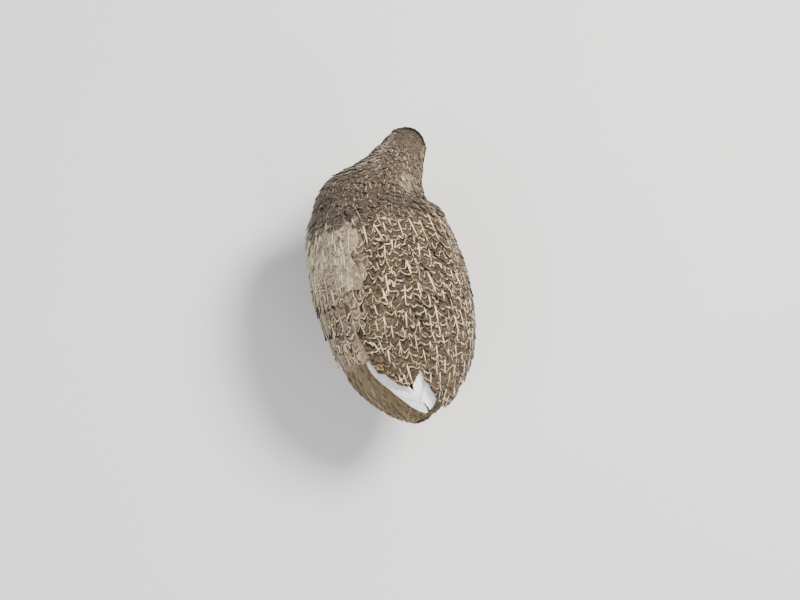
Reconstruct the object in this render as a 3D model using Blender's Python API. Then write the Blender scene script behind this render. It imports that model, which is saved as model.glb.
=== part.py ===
"""A coturnix quail at life size, standing low with its neck bent to its right and its bill pointing down.

The bird faces -Y, its left side is +X, and it stands on z = 0. Shapes are worked out in millimetres
and turned into metres when a mesh is made. An angle round the body is counted in degrees from the
top of the back, 90 on the flank and 180 under the belly.
"""

import math

import bmesh
import bpy
from mathutils import Vector

MM = 0.001
GAP = 0.3  # kept between two nodes that meet
GAP_SPARE = 0.05  # more gap where a flat face lies against a round one
LEFT, RIGHT = 1, -1
SIDE_NAMES = {LEFT: "left", RIGHT: "right"}

# Driving sizes of the trunk, in mm
TRUNK_HALF_WIDTH = 38.8
BACK_ABOVE_SPINE = 37.0
BELLY_BELOW_SPINE = 37.0
SPINE_HEIGHT = 64.0

# Places along the spine, counted in mm backwards from the middle of the bird
NECK_CUT = -49.0
HEAD_CUT = -64.0
TAIL_CUT = 62.0
TAIL_CORE_END = 76.0

# Driving sizes of the head and bill, in mm
HEAD_LENGTH = 26.0
EYE_RADIUS = 3.6
EYE_SHARE, EYE_ANGLE, EYE_SINK = 0.6, 75.0, 2.5
EYE_FORWARD, EYE_UPWARD = 0.26, 0.18  # parts of an eye's look against its look sideways
LID_PLACE, LID_RADIUS, LID_THICKNESS = 2.3, 3.6, 0.8
BILL_LENGTH = 13.0
BILL_ROOT_SHARE = 0.93
BILL_DROP = 0.9  # of the line of the mouth below the head's axis
NOSTRIL_SHARE = 0.26
NOSTRIL_SIZE = (1.5, 0.7, 0.5)
GAPE_LENGTH = 3.0

# Driving sizes of the wings and vanes, in mm
WING_FRONT, WING_BACK = -35.0, 40.0
WING_THICKNESS = 2.6
WING_LIFT = 0.65  # of the wing's inner face above the trunk
VANE_THICKNESS = 0.6
SHAFT_RIDGE = 0.2  # of a vane's middle over its edges
SIDE_GAP = 0.6  # from the bird's middle to the vanes of a wing

# Driving sizes of the legs, in mm
FOOT_SPREAD = 18.0  # of each foot from the middle
FOOT_PLACE = 3.0  # of the foot's ball along the bird
SHANK_LENGTH = 27.0
SHANK_LEAN = 28.0  # degrees that the shank leans back
TOE_SINK = 0.25  # how far the round toes are cut flat below
BALL_HEIGHT = 2.3  # of the middle of the foot's ball
PAD_SIZE = (3.4, 3.8, 1.9)  # half sizes of the pad under it
CLAW_ROOT, CLAW_TIP = 0.74, 0.18  # shares of the toe's radius at its tip
CLAW_ARCH, CLAW_DROP = 0.35, 0.55  # rise of a claw's middle and drop of its tip

# The origin lies under the middle of the whole bird.
TO_ORIGIN = Vector((-0.4, 3.1, 0.0))

# Ribs of the trunk, neck and head root. Each row: place along the spine, offset to the left, rise of the
# spine, turn to the right and tilt upwards in degrees, then shares of the half width, back and belly.
FRONT_RIBS = (
    (-64.0, -20.2, 9.0, 38.0, -14.0, 0.365, 0.345, 0.385),
    (-57.0, -13.3, 9.5, 30.0, 3.0, 0.450, 0.420, 0.560),
    (-49.0, -3.6, 7.5, 20.0, 15.0, 0.705, 0.585, 0.780),
    (-40.0, 0.8, 4.5, 7.0, 10.0, 0.830, 0.760, 0.895),
    (-28.0, 1.4, 1.5, 0.0, 3.0, 0.905, 0.910, 0.970),
    (-12.0, 0.8, 0.0, 0.0, 0.0, 0.965, 0.990, 1.000),
    (6.0, 0.3, 0.0, 0.0, 0.0, 1.000, 0.990, 1.000),
    (24.0, 0.1, 0.0, 0.0, 0.0, 0.975, 0.910, 0.950),
)
REAR_RIBS = (
    (40.0, 0.2, -1.0, 0.0, 0.0, 0.900, 0.755, 0.870),
    (52.0, 0.4, -2.0, 0.0, 0.0, 0.785, 0.620, 0.760),
    (62.0, 0.3, -3.0, 0.0, 0.0, 0.615, 0.480, 0.600),
    (69.0, 0.1, -4.5, 0.0, 0.0, 0.440, 0.360, 0.420),
    (75.0, 0.0, -6.0, 0.0, 0.0, 0.260, 0.240, 0.260),
    (80.0, 0.0, -8.0, 0.0, 0.0, 0.130, 0.120, 0.140),
)
# The bed that the folded wings lie on leaves the rump and runs straight on over the tail.
BED_RIBS = (
    (40.0, 0.2, -1.0, 0.0, 0.0, 0.915, 0.785, 0.880),
    (52.0, 0.4, -2.0, 0.0, 0.0, 0.800, 0.660, 0.770),
    (62.0, 0.4, -4.0, 0.0, 0.0, 0.635, 0.560, 0.620),
    (72.0, 0.2, -6.0, 0.0, 0.0, 0.450, 0.430, 0.440),
    (82.0, 0.0, -8.0, 0.0, 0.0, 0.240, 0.290, 0.240),
)


def axes(turn, tilt):
    """The left, forward and up directions of a section turned to the right and tilted upwards."""
    turn, tilt = math.radians(turn), math.radians(tilt)
    forward = Vector((-math.sin(turn) * math.cos(tilt), -math.cos(turn) * math.cos(tilt), math.sin(tilt)))
    up = Vector((math.sin(turn) * math.sin(tilt), math.cos(turn) * math.sin(tilt), math.cos(tilt)))
    return up.cross(forward), forward, up


def blended(rows, place):
    """The row at a place, on a smooth curve through the rows, which are sorted by their first value."""
    last = len(rows) - 1
    k = 0
    while k < last - 1 and place > rows[k + 1][0]:
        k += 1
    start, end = rows[k], rows[k + 1]
    span = end[0] - start[0]
    t = (place - start[0]) / span
    before, after = rows[max(k - 1, 0)], rows[min(k + 2, last)]
    values = []
    for i in range(1, len(start)):
        leaving = (end[i] - before[i]) / (end[0] - before[0]) * span
        arriving = (after[i] - start[i]) / (after[0] - start[0]) * span
        values.append(
            start[i] * (2 * t**3 - 3 * t**2 + 1)
            + leaving * (t**3 - 2 * t**2 + t)
            + end[i] * (3 * t**2 - 2 * t**3)
            + arriving * (t**3 - t**2)
        )
    return values


def rounded(value, roundness):
    """A sine or cosine pushed outwards a little, for a section fuller than an ellipse."""
    return math.copysign(abs(value) ** roundness, value)


PROBE = 0.7  # mm along and degrees round a hull, between points that a slope is taken from
LEAST_RADIUS = 4.0  # mm


class Hull:
    """A lofted body. Its points are found by place along it, angle round it and lift above its surface."""

    def __init__(self, rows, roundness=0.94):
        self.rows = sorted(rows)
        self.roundness = roundness

    def section(self, place):
        """Centre, left, up, half width, height above and depth below of the section at a place."""
        left_by, rise, turn, tilt, width, above, below = blended(self.rows, place)
        left, _, up = axes(turn, tilt)
        centre = Vector((left_by, place, SPINE_HEIGHT + rise))
        sizes = (width * TRUNK_HALF_WIDTH, above * BACK_ABOVE_SPINE, below * BELLY_BELOW_SPINE)
        return centre, left, up, *sizes

    def surface(self, place, angle):
        centre, left, up, width, above, below = self.section(place)
        turn = math.radians(angle)
        height = above if math.cos(turn) >= 0 else below
        across = width * rounded(math.sin(turn), self.roundness)
        return centre + left * across + up * height * rounded(math.cos(turn), self.roundness)

    def normal(self, place, angle):
        along = self.surface(place + PROBE, angle) - self.surface(place - PROBE, angle)
        around = self.surface(place, angle + PROBE) - self.surface(place, angle - PROBE)
        out = along.cross(around).normalized()
        return out if out.dot(self.surface(place, angle) - self.section(place)[0]) > 0 else -out

    def point(self, place, angle, lift=0.0):
        return self.surface(place, angle) + self.normal(place, angle) * lift

    def radius(self, place, angle):
        return max((self.surface(place, angle) - self.section(place)[0]).length, LEAST_RADIUS)


TRUNK_SIDES = 30
trunk = Hull(FRONT_RIBS + REAR_RIBS)
wing_bed = Hull(FRONT_RIBS + BED_RIBS)


def material(name, colour, roughness):
    made = bpy.data.materials.get(name)
    if made is None:
        made = bpy.data.materials.new(name)
        made.use_nodes = True
        shader = made.node_tree.nodes["Principled BSDF"]
        shader.inputs["Base Color"].default_value = (*colour, 1.0)
        shader.inputs["Roughness"].default_value = roughness
        shader.inputs["Metallic"].default_value = 0.0
    return made


def back_plumage():
    return material("back_plumage", (0.21, 0.165, 0.12), 0.85)


def body_plumage():
    return material("body_plumage", (0.36, 0.285, 0.2), 0.85)


def horn():
    return material("horn", (0.09, 0.075, 0.065), 0.45)


def eye_finish():
    return material("eye", (0.03, 0.018, 0.012), 0.08)


def leg_skin():
    return material("leg_skin", (0.62, 0.46, 0.36), 0.6)


def mesh_object(name, points, faces):
    """A mesh object from points in mm, with its faces turned outwards."""
    mesh = bpy.data.meshes.new(name)
    mesh.from_pydata([tuple((Vector(p) + TO_ORIGIN) * MM) for p in points], [], faces)
    shape = bmesh.new()
    shape.from_mesh(mesh)
    bmesh.ops.recalc_face_normals(shape, faces=shape.faces)
    shape.to_mesh(mesh)
    shape.free()
    made = bpy.data.objects.new(name, mesh)
    bpy.context.scene.collection.objects.link(made)
    return made


def lofted(name, rings):
    """One closed body through rings of points that are alike in number, with a flat cap at each end."""
    count = len(rings[0])
    points = [p for ring in rings for p in ring]
    faces = [tuple(range(count)), tuple(range(len(points) - 1, len(points) - count - 1, -1))]
    for r in range(len(rings) - 1):
        for k in range(count):
            a, b = r * count + k, r * count + (k + 1) % count
            faces.append((a, a + count, b + count, b))
    return mesh_object(name, points, faces)


def steps(start, end, count):
    return [start + (end - start) * k / (count - 1) for k in range(count)]


def hull_rings(hull, start, end, count, turns, lift=0.0):
    """Rings of a hull between two places."""
    return [
        [hull.point(place, 360 * k / turns, lift) for k in range(turns)]
        for place in steps(start, end, count)
    ]


def tube(name, path, radii, turns):
    """A limb of round sections along a path of points. Its sections keep one direction sideways."""
    first = (path[1] - path[0]).normalized()
    side = Vector((1, 0, 0)) if abs(first.x) < 0.2 else first.cross(Vector((0, 0, 1))).normalized()
    rings = []
    for k, centre in enumerate(path):
        ahead = (path[min(k + 1, len(path) - 1)] - path[max(k - 1, 0)]).normalized()
        across = (side - ahead * side.dot(ahead)).normalized()
        over = across.cross(ahead)
        rings.append([
            centre
            + across * radii[k] * math.sin(2 * math.pi * j / turns)
            + over * radii[k] * math.cos(2 * math.pi * j / turns)
            for j in range(turns)
        ])
    return lofted(name, rings)


def ball(name, centre, sizes, directions=None, segments=14):
    """An ellipsoid with half sizes in mm along three directions."""
    directions = directions or (Vector((1, 0, 0)), Vector((0, 1, 0)), Vector((0, 0, 1)))
    shape = bmesh.new()
    bmesh.ops.create_uvsphere(shape, u_segments=segments, v_segments=segments // 2, radius=1.0)
    for vertex in shape.verts:
        local = vertex.co.copy()
        vertex.co = centre + sum((d * s * c for d, s, c in zip(directions, sizes, local)), Vector())
    points = [v.co.copy() for v in shape.verts]
    faces = [tuple(v.index for v in f.verts) for f in shape.faces]
    shape.free()
    return mesh_object(name, points, faces)


def ring_body(name, centre, axis, major, minor, turns=16, sides=6):
    """A torus in mm round an axis."""
    across = axis.cross(Vector((0, 0, 1))).normalized()
    other = axis.cross(across).normalized()
    points, faces = [], []
    for k in range(turns):
        out = across * math.cos(2 * math.pi * k / turns) + other * math.sin(2 * math.pi * k / turns)
        for j in range(sides):
            bend = 2 * math.pi * j / sides
            points.append(centre + out * (major + minor * math.cos(bend)) + axis * minor * math.sin(bend))
    for k in range(turns):
        for j in range(sides):
            a, b = k * sides + j, k * sides + (j + 1) % sides
            c, d = (k + 1) % turns * sides + j, (k + 1) % turns * sides + (j + 1) % sides
            faces.append((a, b, d, c))
    return mesh_object(name, points, faces)


def keep_largest(body):
    """Leaves only the largest closed surface of a mesh."""
    shape = bmesh.new()
    shape.from_mesh(body.data)
    left, islands = set(shape.verts), []
    while left:
        island, edge = set(), [left.pop()]
        while edge:
            vertex = edge.pop()
            island.add(vertex)
            for link in vertex.link_edges:
                other = link.other_vert(vertex)
                if other in left:
                    left.discard(other)
                    edge.append(other)
        islands.append(island)
    islands.sort(key=len)
    for island in islands[:-1]:
        bmesh.ops.delete(shape, geom=list(island), context="VERTS")
    shape.to_mesh(body.data)
    shape.free()


def combined(body, others, operation, solver="EXACT"):
    """Joins or cuts a body with others in one applied Boolean, and removes the others."""
    group = bpy.data.collections.new(body.name + "_tools")
    bpy.context.scene.collection.children.link(group)
    for other in others:
        bpy.context.scene.collection.objects.unlink(other)
        group.objects.link(other)
    change = body.modifiers.new(operation.lower(), "BOOLEAN")
    change.operation = operation
    change.operand_type = "COLLECTION"
    change.collection = group
    change.solver = solver
    bpy.context.view_layer.objects.active = body
    bpy.ops.object.modifier_apply(modifier=change.name)
    for other in list(group.objects):
        bpy.data.objects.remove(other)
    bpy.data.collections.remove(group)
    keep_largest(body)
    return body


def finished(body, name, finish, sharp_from=35.0):
    body.name = name
    body.data.name = name
    body.data.materials.clear()
    body.data.materials.append(finish)
    body.data.shade_smooth()
    body.data.set_sharp_from_angle(angle=math.radians(sharp_from))
    return body


def vane(name, lines, thickness=VANE_THICKNESS):
    """A feather's vane as a closed sheet. Each of its lines, from root to tip, holds the points and outward
    normals of its two edges and of its shaft. Both faces are split into triangles alike."""
    points = []
    for row in lines:
        for half in (thickness / 2, -thickness / 2):
            points += [p + n * half for p, n in row]
    across, per_line = len(lines[0]), 2 * len(lines[0])
    faces = []
    for k in range(len(lines) - 1):
        here, there = k * per_line, (k + 1) * per_line
        for j in range(across - 1):
            for below in (0, across):
                a, b = here + below + j, here + below + j + 1
                c, d = there + below + j, there + below + j + 1
                faces += [(a, c, b), (b, c, d)]
        for j in (0, across - 1):
            a, b, c, d = here + j, here + across + j, there + j, there + across + j
            faces += [(a, b, c), (b, d, c)]
    for start in (0, (len(lines) - 1) * per_line):
        for j in range(across - 1):
            a, b = start + j, start + j + 1
            faces += [(a, b, a + across), (b, b + across, a + across)]
    return mesh_object(name, points, faces)


# Outlines of a short and a long vane: shares of its length, with shares of its half width
SHORT_OUTLINE = ((0.0, 0.5), (0.4, 0.95), (0.75, 0.95), (0.93, 0.6), (1.0, 0.2))
LONG_OUTLINE = ((0.0, 0.5), (0.25, 0.85), (0.5, 1.0), (0.75, 0.95), (0.93, 0.6), (1.0, 0.2))
LONG_FROM = 30.0  # mm along the bird


def laid_vane(hull, name, side, root, tip, half_width, lifts, lean):
    """A vane laid on a hull from a root to a tip, each a place and an angle. Lifts are above the hull at the
    root and the tip, and lean lifts its lower edge over the next vane down."""
    lines = []
    for share, width_share in LONG_OUTLINE if tip[0] - root[0] > LONG_FROM else SHORT_OUTLINE:
        place = root[0] + (tip[0] - root[0]) * share
        angle = root[1] + (tip[1] - root[1]) * share
        radius = hull.radius(place, side * angle)
        along = tip[0] - root[0]
        around = math.radians(tip[1] - root[1]) * radius
        length = math.hypot(along, around)
        lift = lifts[0] + (lifts[1] - lifts[0]) * share
        row = []
        for edge in (-1, 0, 1):
            off = edge * half_width * width_share
            at_place = place - off * around / length
            at_angle = angle + math.degrees(off * along / length / radius)
            if hull is wing_bed:
                at_angle = max(at_angle, math.degrees(math.asin(SIDE_GAP / radius)))
            raised = lift + lean * edge + (SHAFT_RIDGE if edge == 0 else 0.0)
            normal = hull.normal(at_place, side * at_angle)
            row.append((hull.point(at_place, side * at_angle, raised), normal))
        lines.append(row)
    return vane(name, lines)


# Edges of the wing's plate, in rows of place, upper angle and lower angle
WING_EDGES = (
    (-35.0, 60.0, 96.0),
    (-28.0, 45.0, 104.0),
    (-16.0, 38.0, 110.0),
    (4.0, 34.0, 110.0),
    (24.0, 30.0, 102.0),
    (40.0, 28.0, 86.0),
)
EDGE_THICKNESS = 0.9


def wing_plate(side):
    """The wing's own arm and hand under the feathers: a plate on the flank, thickest along its middle."""
    places, across = 11, 9
    inner, outer = [], []
    for place in steps(WING_FRONT, WING_BACK, places):
        upper, lower = blended(WING_EDGES, place)
        along_share = (place - WING_FRONT) / (WING_BACK - WING_FRONT)
        for k in range(across):
            share = k / (across - 1)
            angle = side * (upper + (lower - upper) * share)
            middle = math.sin(math.pi * share) ** 0.5 * math.sin(math.pi * (0.08 + 0.84 * along_share)) ** 0.4
            thick = EDGE_THICKNESS + (WING_THICKNESS - EDGE_THICKNESS) * middle
            inner.append(wing_bed.point(place, angle, WING_LIFT))
            outer.append(wing_bed.point(place, angle, WING_LIFT + thick))
    total = places * across
    faces = []
    for r in range(places - 1):
        for k in range(across - 1):
            a, b, c, d = r * across + k, r * across + k + 1, (r + 1) * across + k, (r + 1) * across + k + 1
            for layer in (0, total):
                faces += [(a + layer, c + layer, b + layer), (b + layer, c + layer, d + layer)]
        for k in (0, across - 1):
            a, c = r * across + k, (r + 1) * across + k
            faces += [(a, c, a + total), (c, c + total, a + total)]
    for r in (0, places - 1):
        for k in range(across - 1):
            a, b = r * across + k, r * across + k + 1
            faces += [(a, a + total, b), (b, a + total, b + total)]
    return mesh_object("wing_plate", inner + outer, faces)


# Tiers of vanes on each wing. Each row: count, first root, last root, first tip, last tip, half widths of the
# first and last, lifts at root and tip, lean, and what each tip lies higher than the one before. The first
# vane of a tier is its lowest.
WING_TIERS = {
    "primary": (4, (24, 84), (34, 58), (76, 10), (66, 19), (4.2, 5.0), (1.9, 1.5), 0.5, 0.5),
    "secondary": (5, (16, 96), (28, 50), (44, 84), (60, 32), (5.8, 6.2), (1.8, 2.4), 0.8, 0.0),
    "tertial": (3, (14, 52), (4, 40), (62, 23), (54, 10), (6.6, 7.0), (1.7, 3.0), 0.6, 0.5),
    "greater_covert": (4, (-4, 98), (8, 52), (20, 96), (34, 50), (8.2, 8.6), (1.8, 3.2), 0.8, 0.0),
    "median_covert": (4, (-26, 90), (-14, 50), (0, 96), (12, 50), (7.8, 8.2), (1.8, 3.2), 0.8, 0.0),
    "scapular": (3, (-26, 50), (8, 38), (4, 36), (41, 14), (7.8, 8.2), (1.6, 3.6), 0.4, 0.3),
}


def between(first, last, share):
    return tuple(a + (b - a) * share for a, b in zip(first, last))


def tier_vanes(hull, tiers, side):
    """The vanes of all tiers on one side of a hull."""
    pieces = []
    for tier, row in tiers.items():
        count, root_a, root_b, tip_a, tip_b, widths, (root_lift, tip_lift), lean, rise = row
        for k in range(count):
            share = k / (count - 1)
            root, tip = between(root_a, root_b, share), between(tip_a, tip_b, share)
            half_width = widths[0] + (widths[1] - widths[0]) * share
            lifts = (root_lift, tip_lift + rise * k)
            pieces.append(laid_vane(hull, f"{tier}_{k}", side, root, tip, half_width, lifts, lean))
    return pieces


def folded_wing(side):
    """One wing: its plate, with the tiers of flight feathers and coverts fused on it."""
    body = combined(wing_plate(side), tier_vanes(wing_bed, WING_TIERS, side), "UNION", "MANIFOLD")
    return finished(body, f"wing_{SIDE_NAMES[side]}", back_plumage())


# Ribs of the head. Each row: share of the head's length from its back, turn and tilt in degrees, then half
# width, height above and depth below its axis in mm.
HEAD_RIBS = (
    (0.00, 36.0, -14.0, 13.1, 12.5, 14.0),
    (0.20, 38.0, -20.0, 12.7, 12.6, 12.8),
    (0.42, 40.0, -26.0, 11.6, 11.7, 10.8),
    (0.62, 40.0, -30.0, 10.0, 9.9, 8.9),
    (0.80, 40.0, -32.0, 7.8, 7.5, 7.0),
    (0.92, 40.0, -32.0, 5.7, 5.4, 5.4),
    (1.00, 40.0, -32.0, 3.9, 3.6, 3.9),
)
HEAD_STEPS = 10
HEAD_SIDES = 24
HEAD_FIRST = 0.014  # share at which the head starts, clear of the neck
AXIS_PIECES = 24  # straight pieces that the head's curved axis is added up from


def head_section(share):
    """Centre, left, forward, up, half width, height and depth of the head at a share of its length."""
    centre = trunk.section(HEAD_CUT)[0]
    for k in range(AXIS_PIECES):
        turn, tilt = blended(HEAD_RIBS, share * (k + 0.5) / AXIS_PIECES)[:2]
        centre = centre + axes(turn, tilt)[1] * HEAD_LENGTH * share / AXIS_PIECES
    turn, tilt, width, above, below = blended(HEAD_RIBS, share)
    return centre, *axes(turn, tilt), width, above, below


def head_point(share, angle, lift=0.0):
    centre, left, _, up, width, above, below = head_section(share)
    turn = math.radians(angle)
    height = above if math.cos(turn) >= 0 else below
    out = left * math.sin(turn) * (width + lift) + up * math.cos(turn) * (height + lift)
    return centre + out


def eye_place(side):
    """Centre of an eyeball and the direction in which it looks."""
    surface = head_point(EYE_SHARE, side * EYE_ANGLE)
    _, left, forward, up, *_ = head_section(EYE_SHARE)
    look = (left * side + forward * EYE_FORWARD + up * EYE_UPWARD).normalized()
    return surface - look * EYE_SINK, look


def head():
    """The head with its lids, the cups of its eyes and the corners of its mouth."""
    rings = []
    for share in steps(HEAD_FIRST, 1.0, HEAD_STEPS):
        rings.append([head_point(share, 360 * k / HEAD_SIDES) for k in range(HEAD_SIDES)])
    body = lofted("head", rings)
    lids, cups = [], []
    for side in (LEFT, RIGHT):
        centre, look = eye_place(side)
        lids.append(ring_body("lid", centre + look * LID_PLACE, look, LID_RADIUS, LID_THICKNESS))
        cups.append(ball("cup", centre, [EYE_RADIUS + GAP] * 3, segments=16))
    combined(body, lids, "UNION")
    combined(body, cups, "DIFFERENCE")
    combined(body, [bill_block(GAP)], "DIFFERENCE")
    combined(body, [gape(side) for side in (LEFT, RIGHT)], "DIFFERENCE")
    return finished(body, "head", body_plumage())


def eye(side):
    centre, look = eye_place(side)
    body = ball("eye", centre, [EYE_RADIUS] * 3, segments=16)
    return finished(body, f"eye_{SIDE_NAMES[side]}", eye_finish(), 60.0)


# Ribs of the bill. Each row: share of its length from its root, drop of its ridge, half width, height above
# the line of the mouth and depth below it, in mm.
BILL_RIBS = (
    (0.00, 0.0, 3.3, 3.1, 2.3),
    (0.30, 0.1, 3.0, 2.9, 2.1),
    (0.60, 0.6, 2.2, 2.3, 1.6),
    (0.85, 1.7, 1.3, 1.6, 1.0),
    (1.00, 3.0, 0.5, 0.8, 0.5),
)


def bill_point(share, across, height, grow=0.0):
    """A point of the bill, with across and height as shares of its half width and of its height or depth."""
    drop, width, above, below = blended(BILL_RIBS, share)
    root, left, forward, up, *_ = head_section(BILL_ROOT_SHARE)
    size = above if height >= 0 else below
    out = root + forward * BILL_LENGTH * share - up * (drop + BILL_DROP)
    return out + left * across * (width + grow) + up * height * (size + grow)


def bill_block(grow):
    """The root of the whole bill grown by a gap, to cut the head."""
    rings = []
    for share in steps(-0.08 - grow / BILL_LENGTH, 0.9, 8):
        ring = []
        for k in range(16):
            turn = 2 * math.pi * k / 16
            ring.append(bill_point(max(share, 0.0), math.sin(turn), math.cos(turn), grow))
        shift = head_section(BILL_ROOT_SHARE)[2] * BILL_LENGTH * min(share, 0.0)
        rings.append([p + shift for p in ring])
    return lofted("bill_block", rings)


def half_bill(name, sign, last_share):
    """One half of the bill, with a flat face along the line of the mouth."""
    turns = 9
    rings = []
    for share in steps(0.0, last_share, 9):
        ring = []
        for k in range(turns):
            turn = math.pi * k / (turns - 1) - math.pi / 2
            ring.append(bill_point(share, math.sin(turn), sign * max(math.cos(turn), 0.0)))
        up = head_section(BILL_ROOT_SHARE)[3]
        rings.append([p + up * sign * GAP / 2 for p in ring])
    return lofted(name, rings)


def bill_upper():
    body = half_bill("bill_upper", 1, 1.0)
    pits = []
    for side in (LEFT, RIGHT):
        _, left, forward, up, *_ = head_section(BILL_ROOT_SHARE)
        centre = bill_point(NOSTRIL_SHARE, side * 0.86, 0.62)
        pits.append(ball("pit", centre, NOSTRIL_SIZE, (forward, left, up), 8))
    combined(body, pits, "DIFFERENCE")
    return finished(body, "bill_upper", horn())


def bill_lower():
    return finished(half_bill("bill_lower", -1, 0.86), "bill_lower", horn())


def gape(side):
    """The corner of the mouth, a thin slot running back from the bill below the eye."""
    _, left, forward, up, *_ = head_section(BILL_ROOT_SHARE)
    centre = bill_point(0.0, side * 0.95, 0.0) - forward * GAPE_LENGTH * 0.4 + left * side * 0.6
    return ball("gape", centre, (GAPE_LENGTH, 1.6, 0.35), (forward, left, up), 12)


def grown_trunk():
    """The trunk grown by the gap, to cut what sits on it."""
    inset = 2.0  # mm short of the trunk's ends
    rings = hull_rings(trunk, NECK_CUT + inset, TAIL_CUT - inset, 30, TRUNK_SIDES, GAP + GAP_SPARE)
    return lofted("grown_trunk", rings)


def torso():
    rings = hull_rings(trunk, NECK_CUT + GAP / 2, TAIL_CUT - GAP / 2, 19, TRUNK_SIDES)
    return finished(lofted("torso", rings), "torso", body_plumage(), 60.0)


def neck():
    rings = hull_rings(trunk, HEAD_CUT + GAP / 2, NECK_CUT - GAP / 2, 8, HEAD_SIDES)
    return finished(lofted("neck", rings), "neck", body_plumage(), 60.0)


# Tiers of vanes on each side of the tail, with rows as those of the wing
TAIL_TIERS = {
    "rectrix": (3, (65, 60), (65, 14), (77, 58), (81, 14), (4.8, 5.2), (-2.4, 0.6), 0.5, 0.0),
    "covert": (3, (60, 64), (60, 14), (71, 62), (75, 16), (5.6, 6.0), (-1.6, 1.0), 0.6, 0.0),
    "undercovert": (2, (63, 116), (63, 156), (74, 116), (76, 156), (6.2, 6.6), (-1.6, 0.9), 0.5, 0.0),
}


def tail():
    """The end of the body with the tail's vanes and coverts, fused."""
    core = lofted("tail", hull_rings(trunk, TAIL_CUT + GAP / 2, TAIL_CORE_END, 7, TRUNK_SIDES))
    pieces = []
    for side in (LEFT, RIGHT):
        pieces += tier_vanes(trunk, TAIL_TIERS, side)
    combined(core, pieces, "UNION", "MANIFOLD")
    combined(core, [space_before_tail()], "DIFFERENCE", "MANIFOLD")
    return finished(core, "tail", body_plumage())


def space_before_tail():
    """A block that ends at the tail's cut, to trim the roots of its vanes."""
    reach = 50.0
    rings = []
    for place in (TAIL_CUT - reach, TAIL_CUT + GAP / 2):
        middle = Vector((0.0, place, SPINE_HEIGHT))
        corners = ((-reach, -reach), (reach, -reach), (reach, reach), (-reach, reach))
        rings.append([middle + Vector((x, 0.0, z)) for x, z in corners])
    return lofted("space_before_tail", rings)


def leg_points(side):
    """Ball of the foot and hock, and the directions of the shank and thigh upwards."""
    ball_of_foot = Vector((side * FOOT_SPREAD, FOOT_PLACE, BALL_HEIGHT))
    lean = math.radians(SHANK_LEAN)
    shank_up = Vector((0.0, math.sin(lean), math.cos(lean)))
    thigh_up = Vector((-side * 0.05, -0.6, 0.8)).normalized()
    return ball_of_foot, ball_of_foot + shank_up * SHANK_LENGTH, shank_up, thigh_up


def thigh(side):
    _, hock, _, up = leg_points(side)
    places = (2.9, 6.0, 10.0, 15.0, 20.0)
    body = tube("thigh", [hock + up * p for p in places], (3.2, 6.0, 9.0, 11.5, 11.0), 16)
    combined(body, [grown_trunk()], "DIFFERENCE")
    return finished(body, f"thigh_{SIDE_NAMES[side]}", body_plumage(), 50.0)


def shank(side):
    foot_ball, hock, up, thigh_up = leg_points(side)
    path = [foot_ball + up * p for p in (3.3, 6.0, 12.0, 20.0, 24.5)]
    path += [hock + (thigh_up - up) * 0.2, hock + thigh_up * 2.6]
    body = tube("shank", path, (2.0, 1.6, 1.5, 1.7, 2.2, 2.5, 2.4), 12)
    return finished(body, f"shank_{SIDE_NAMES[side]}", leg_skin(), 50.0)


# Toes of a foot. Each row: direction in degrees outwards from straight ahead, length without its claw,
# radius at the root and at the tip in mm, and length of the claw.
TOES = (
    (-30.0, 15.0, 1.55, 1.15, 4.0),
    (4.0, 21.0, 1.65, 1.15, 4.4),
    (38.0, 15.5, 1.5, 1.1, 3.8),
    (176.0, 6.5, 1.3, 1.0, 3.2),
)


JOINT_SWELL, JOINT_EVERY = 0.14, 6.0  # mm


def toe_direction(side, degrees):
    turn = math.radians(degrees)
    return Vector((side * math.sin(turn), -math.cos(turn), 0.0))


def toe_end(side, row):
    """Middle of the toe's end face."""
    degrees, length, _, tip_radius, _ = row
    middle = Vector((side * FOOT_SPREAD, FOOT_PLACE, 0.0)) + toe_direction(side, degrees) * length
    return middle + Vector((0, 0, tip_radius - TOE_SINK))


def toe(side, row):
    """A toe with its joints a little swollen."""
    degrees, length, root_radius, tip_radius, _ = row
    path, radii = [], []
    for share in steps(0.0, 1.0, 6):
        radius = root_radius + (tip_radius - root_radius) * share
        swell = JOINT_SWELL * math.sin(math.pi * share * max(2, round(length / JOINT_EVERY))) ** 2
        spot = Vector((side * FOOT_SPREAD, FOOT_PLACE, 0.0)) + toe_direction(side, degrees) * length * share
        path.append(spot + Vector((0, 0, radius - TOE_SINK)))
        radii.append(radius + swell * (0 < share < 1))
    return tube("toe", path, radii, 8)


def foot(side):
    """The ball of the foot with its four toes, its sole cut flat."""
    foot_ball, _, up, _ = leg_points(side)
    body = tube("foot", [foot_ball + up * place for place in (-1.2, 1.2, 3.0)], (2.6, 2.5, 2.1), 12)
    pad = ball("pad", Vector((side * FOOT_SPREAD, FOOT_PLACE - 0.6, 1.3)), PAD_SIZE, segments=12)
    toes = [toe(side, row) for row in TOES]
    combined(body, [pad] + toes, "UNION", "MANIFOLD")
    ground = lofted("ground", [
        [Vector((side * FOOT_SPREAD + x, y, z)) for x, y in ((-60, -60), (60, -60), (60, 60), (-60, 60))]
        for z in (-10.0, 0.0)
    ])
    combined(body, [ground], "DIFFERENCE", "MANIFOLD")
    return finished(body, f"foot_{SIDE_NAMES[side]}", leg_skin(), 50.0)


def claw(side, number, row):
    """A claw curved down from the end of its toe, its tip just clear of the floor."""
    degrees, _, _, tip_radius, length = row
    ahead = toe_direction(side, degrees)
    root = toe_end(side, row) + ahead * GAP
    path, radii = [], []
    for share in steps(0.0, 1.0, 5):
        rise = CLAW_ARCH * math.sin(math.pi * share) - CLAW_DROP * share
        path.append(root + ahead * length * share + Vector((0, 0, rise)))
        radii.append(tip_radius * (CLAW_ROOT + (CLAW_TIP - CLAW_ROOT) * share))
    return finished(tube("claw", path, radii, 6), f"claw_{SIDE_NAMES[side]}_{number}", horn())


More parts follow.
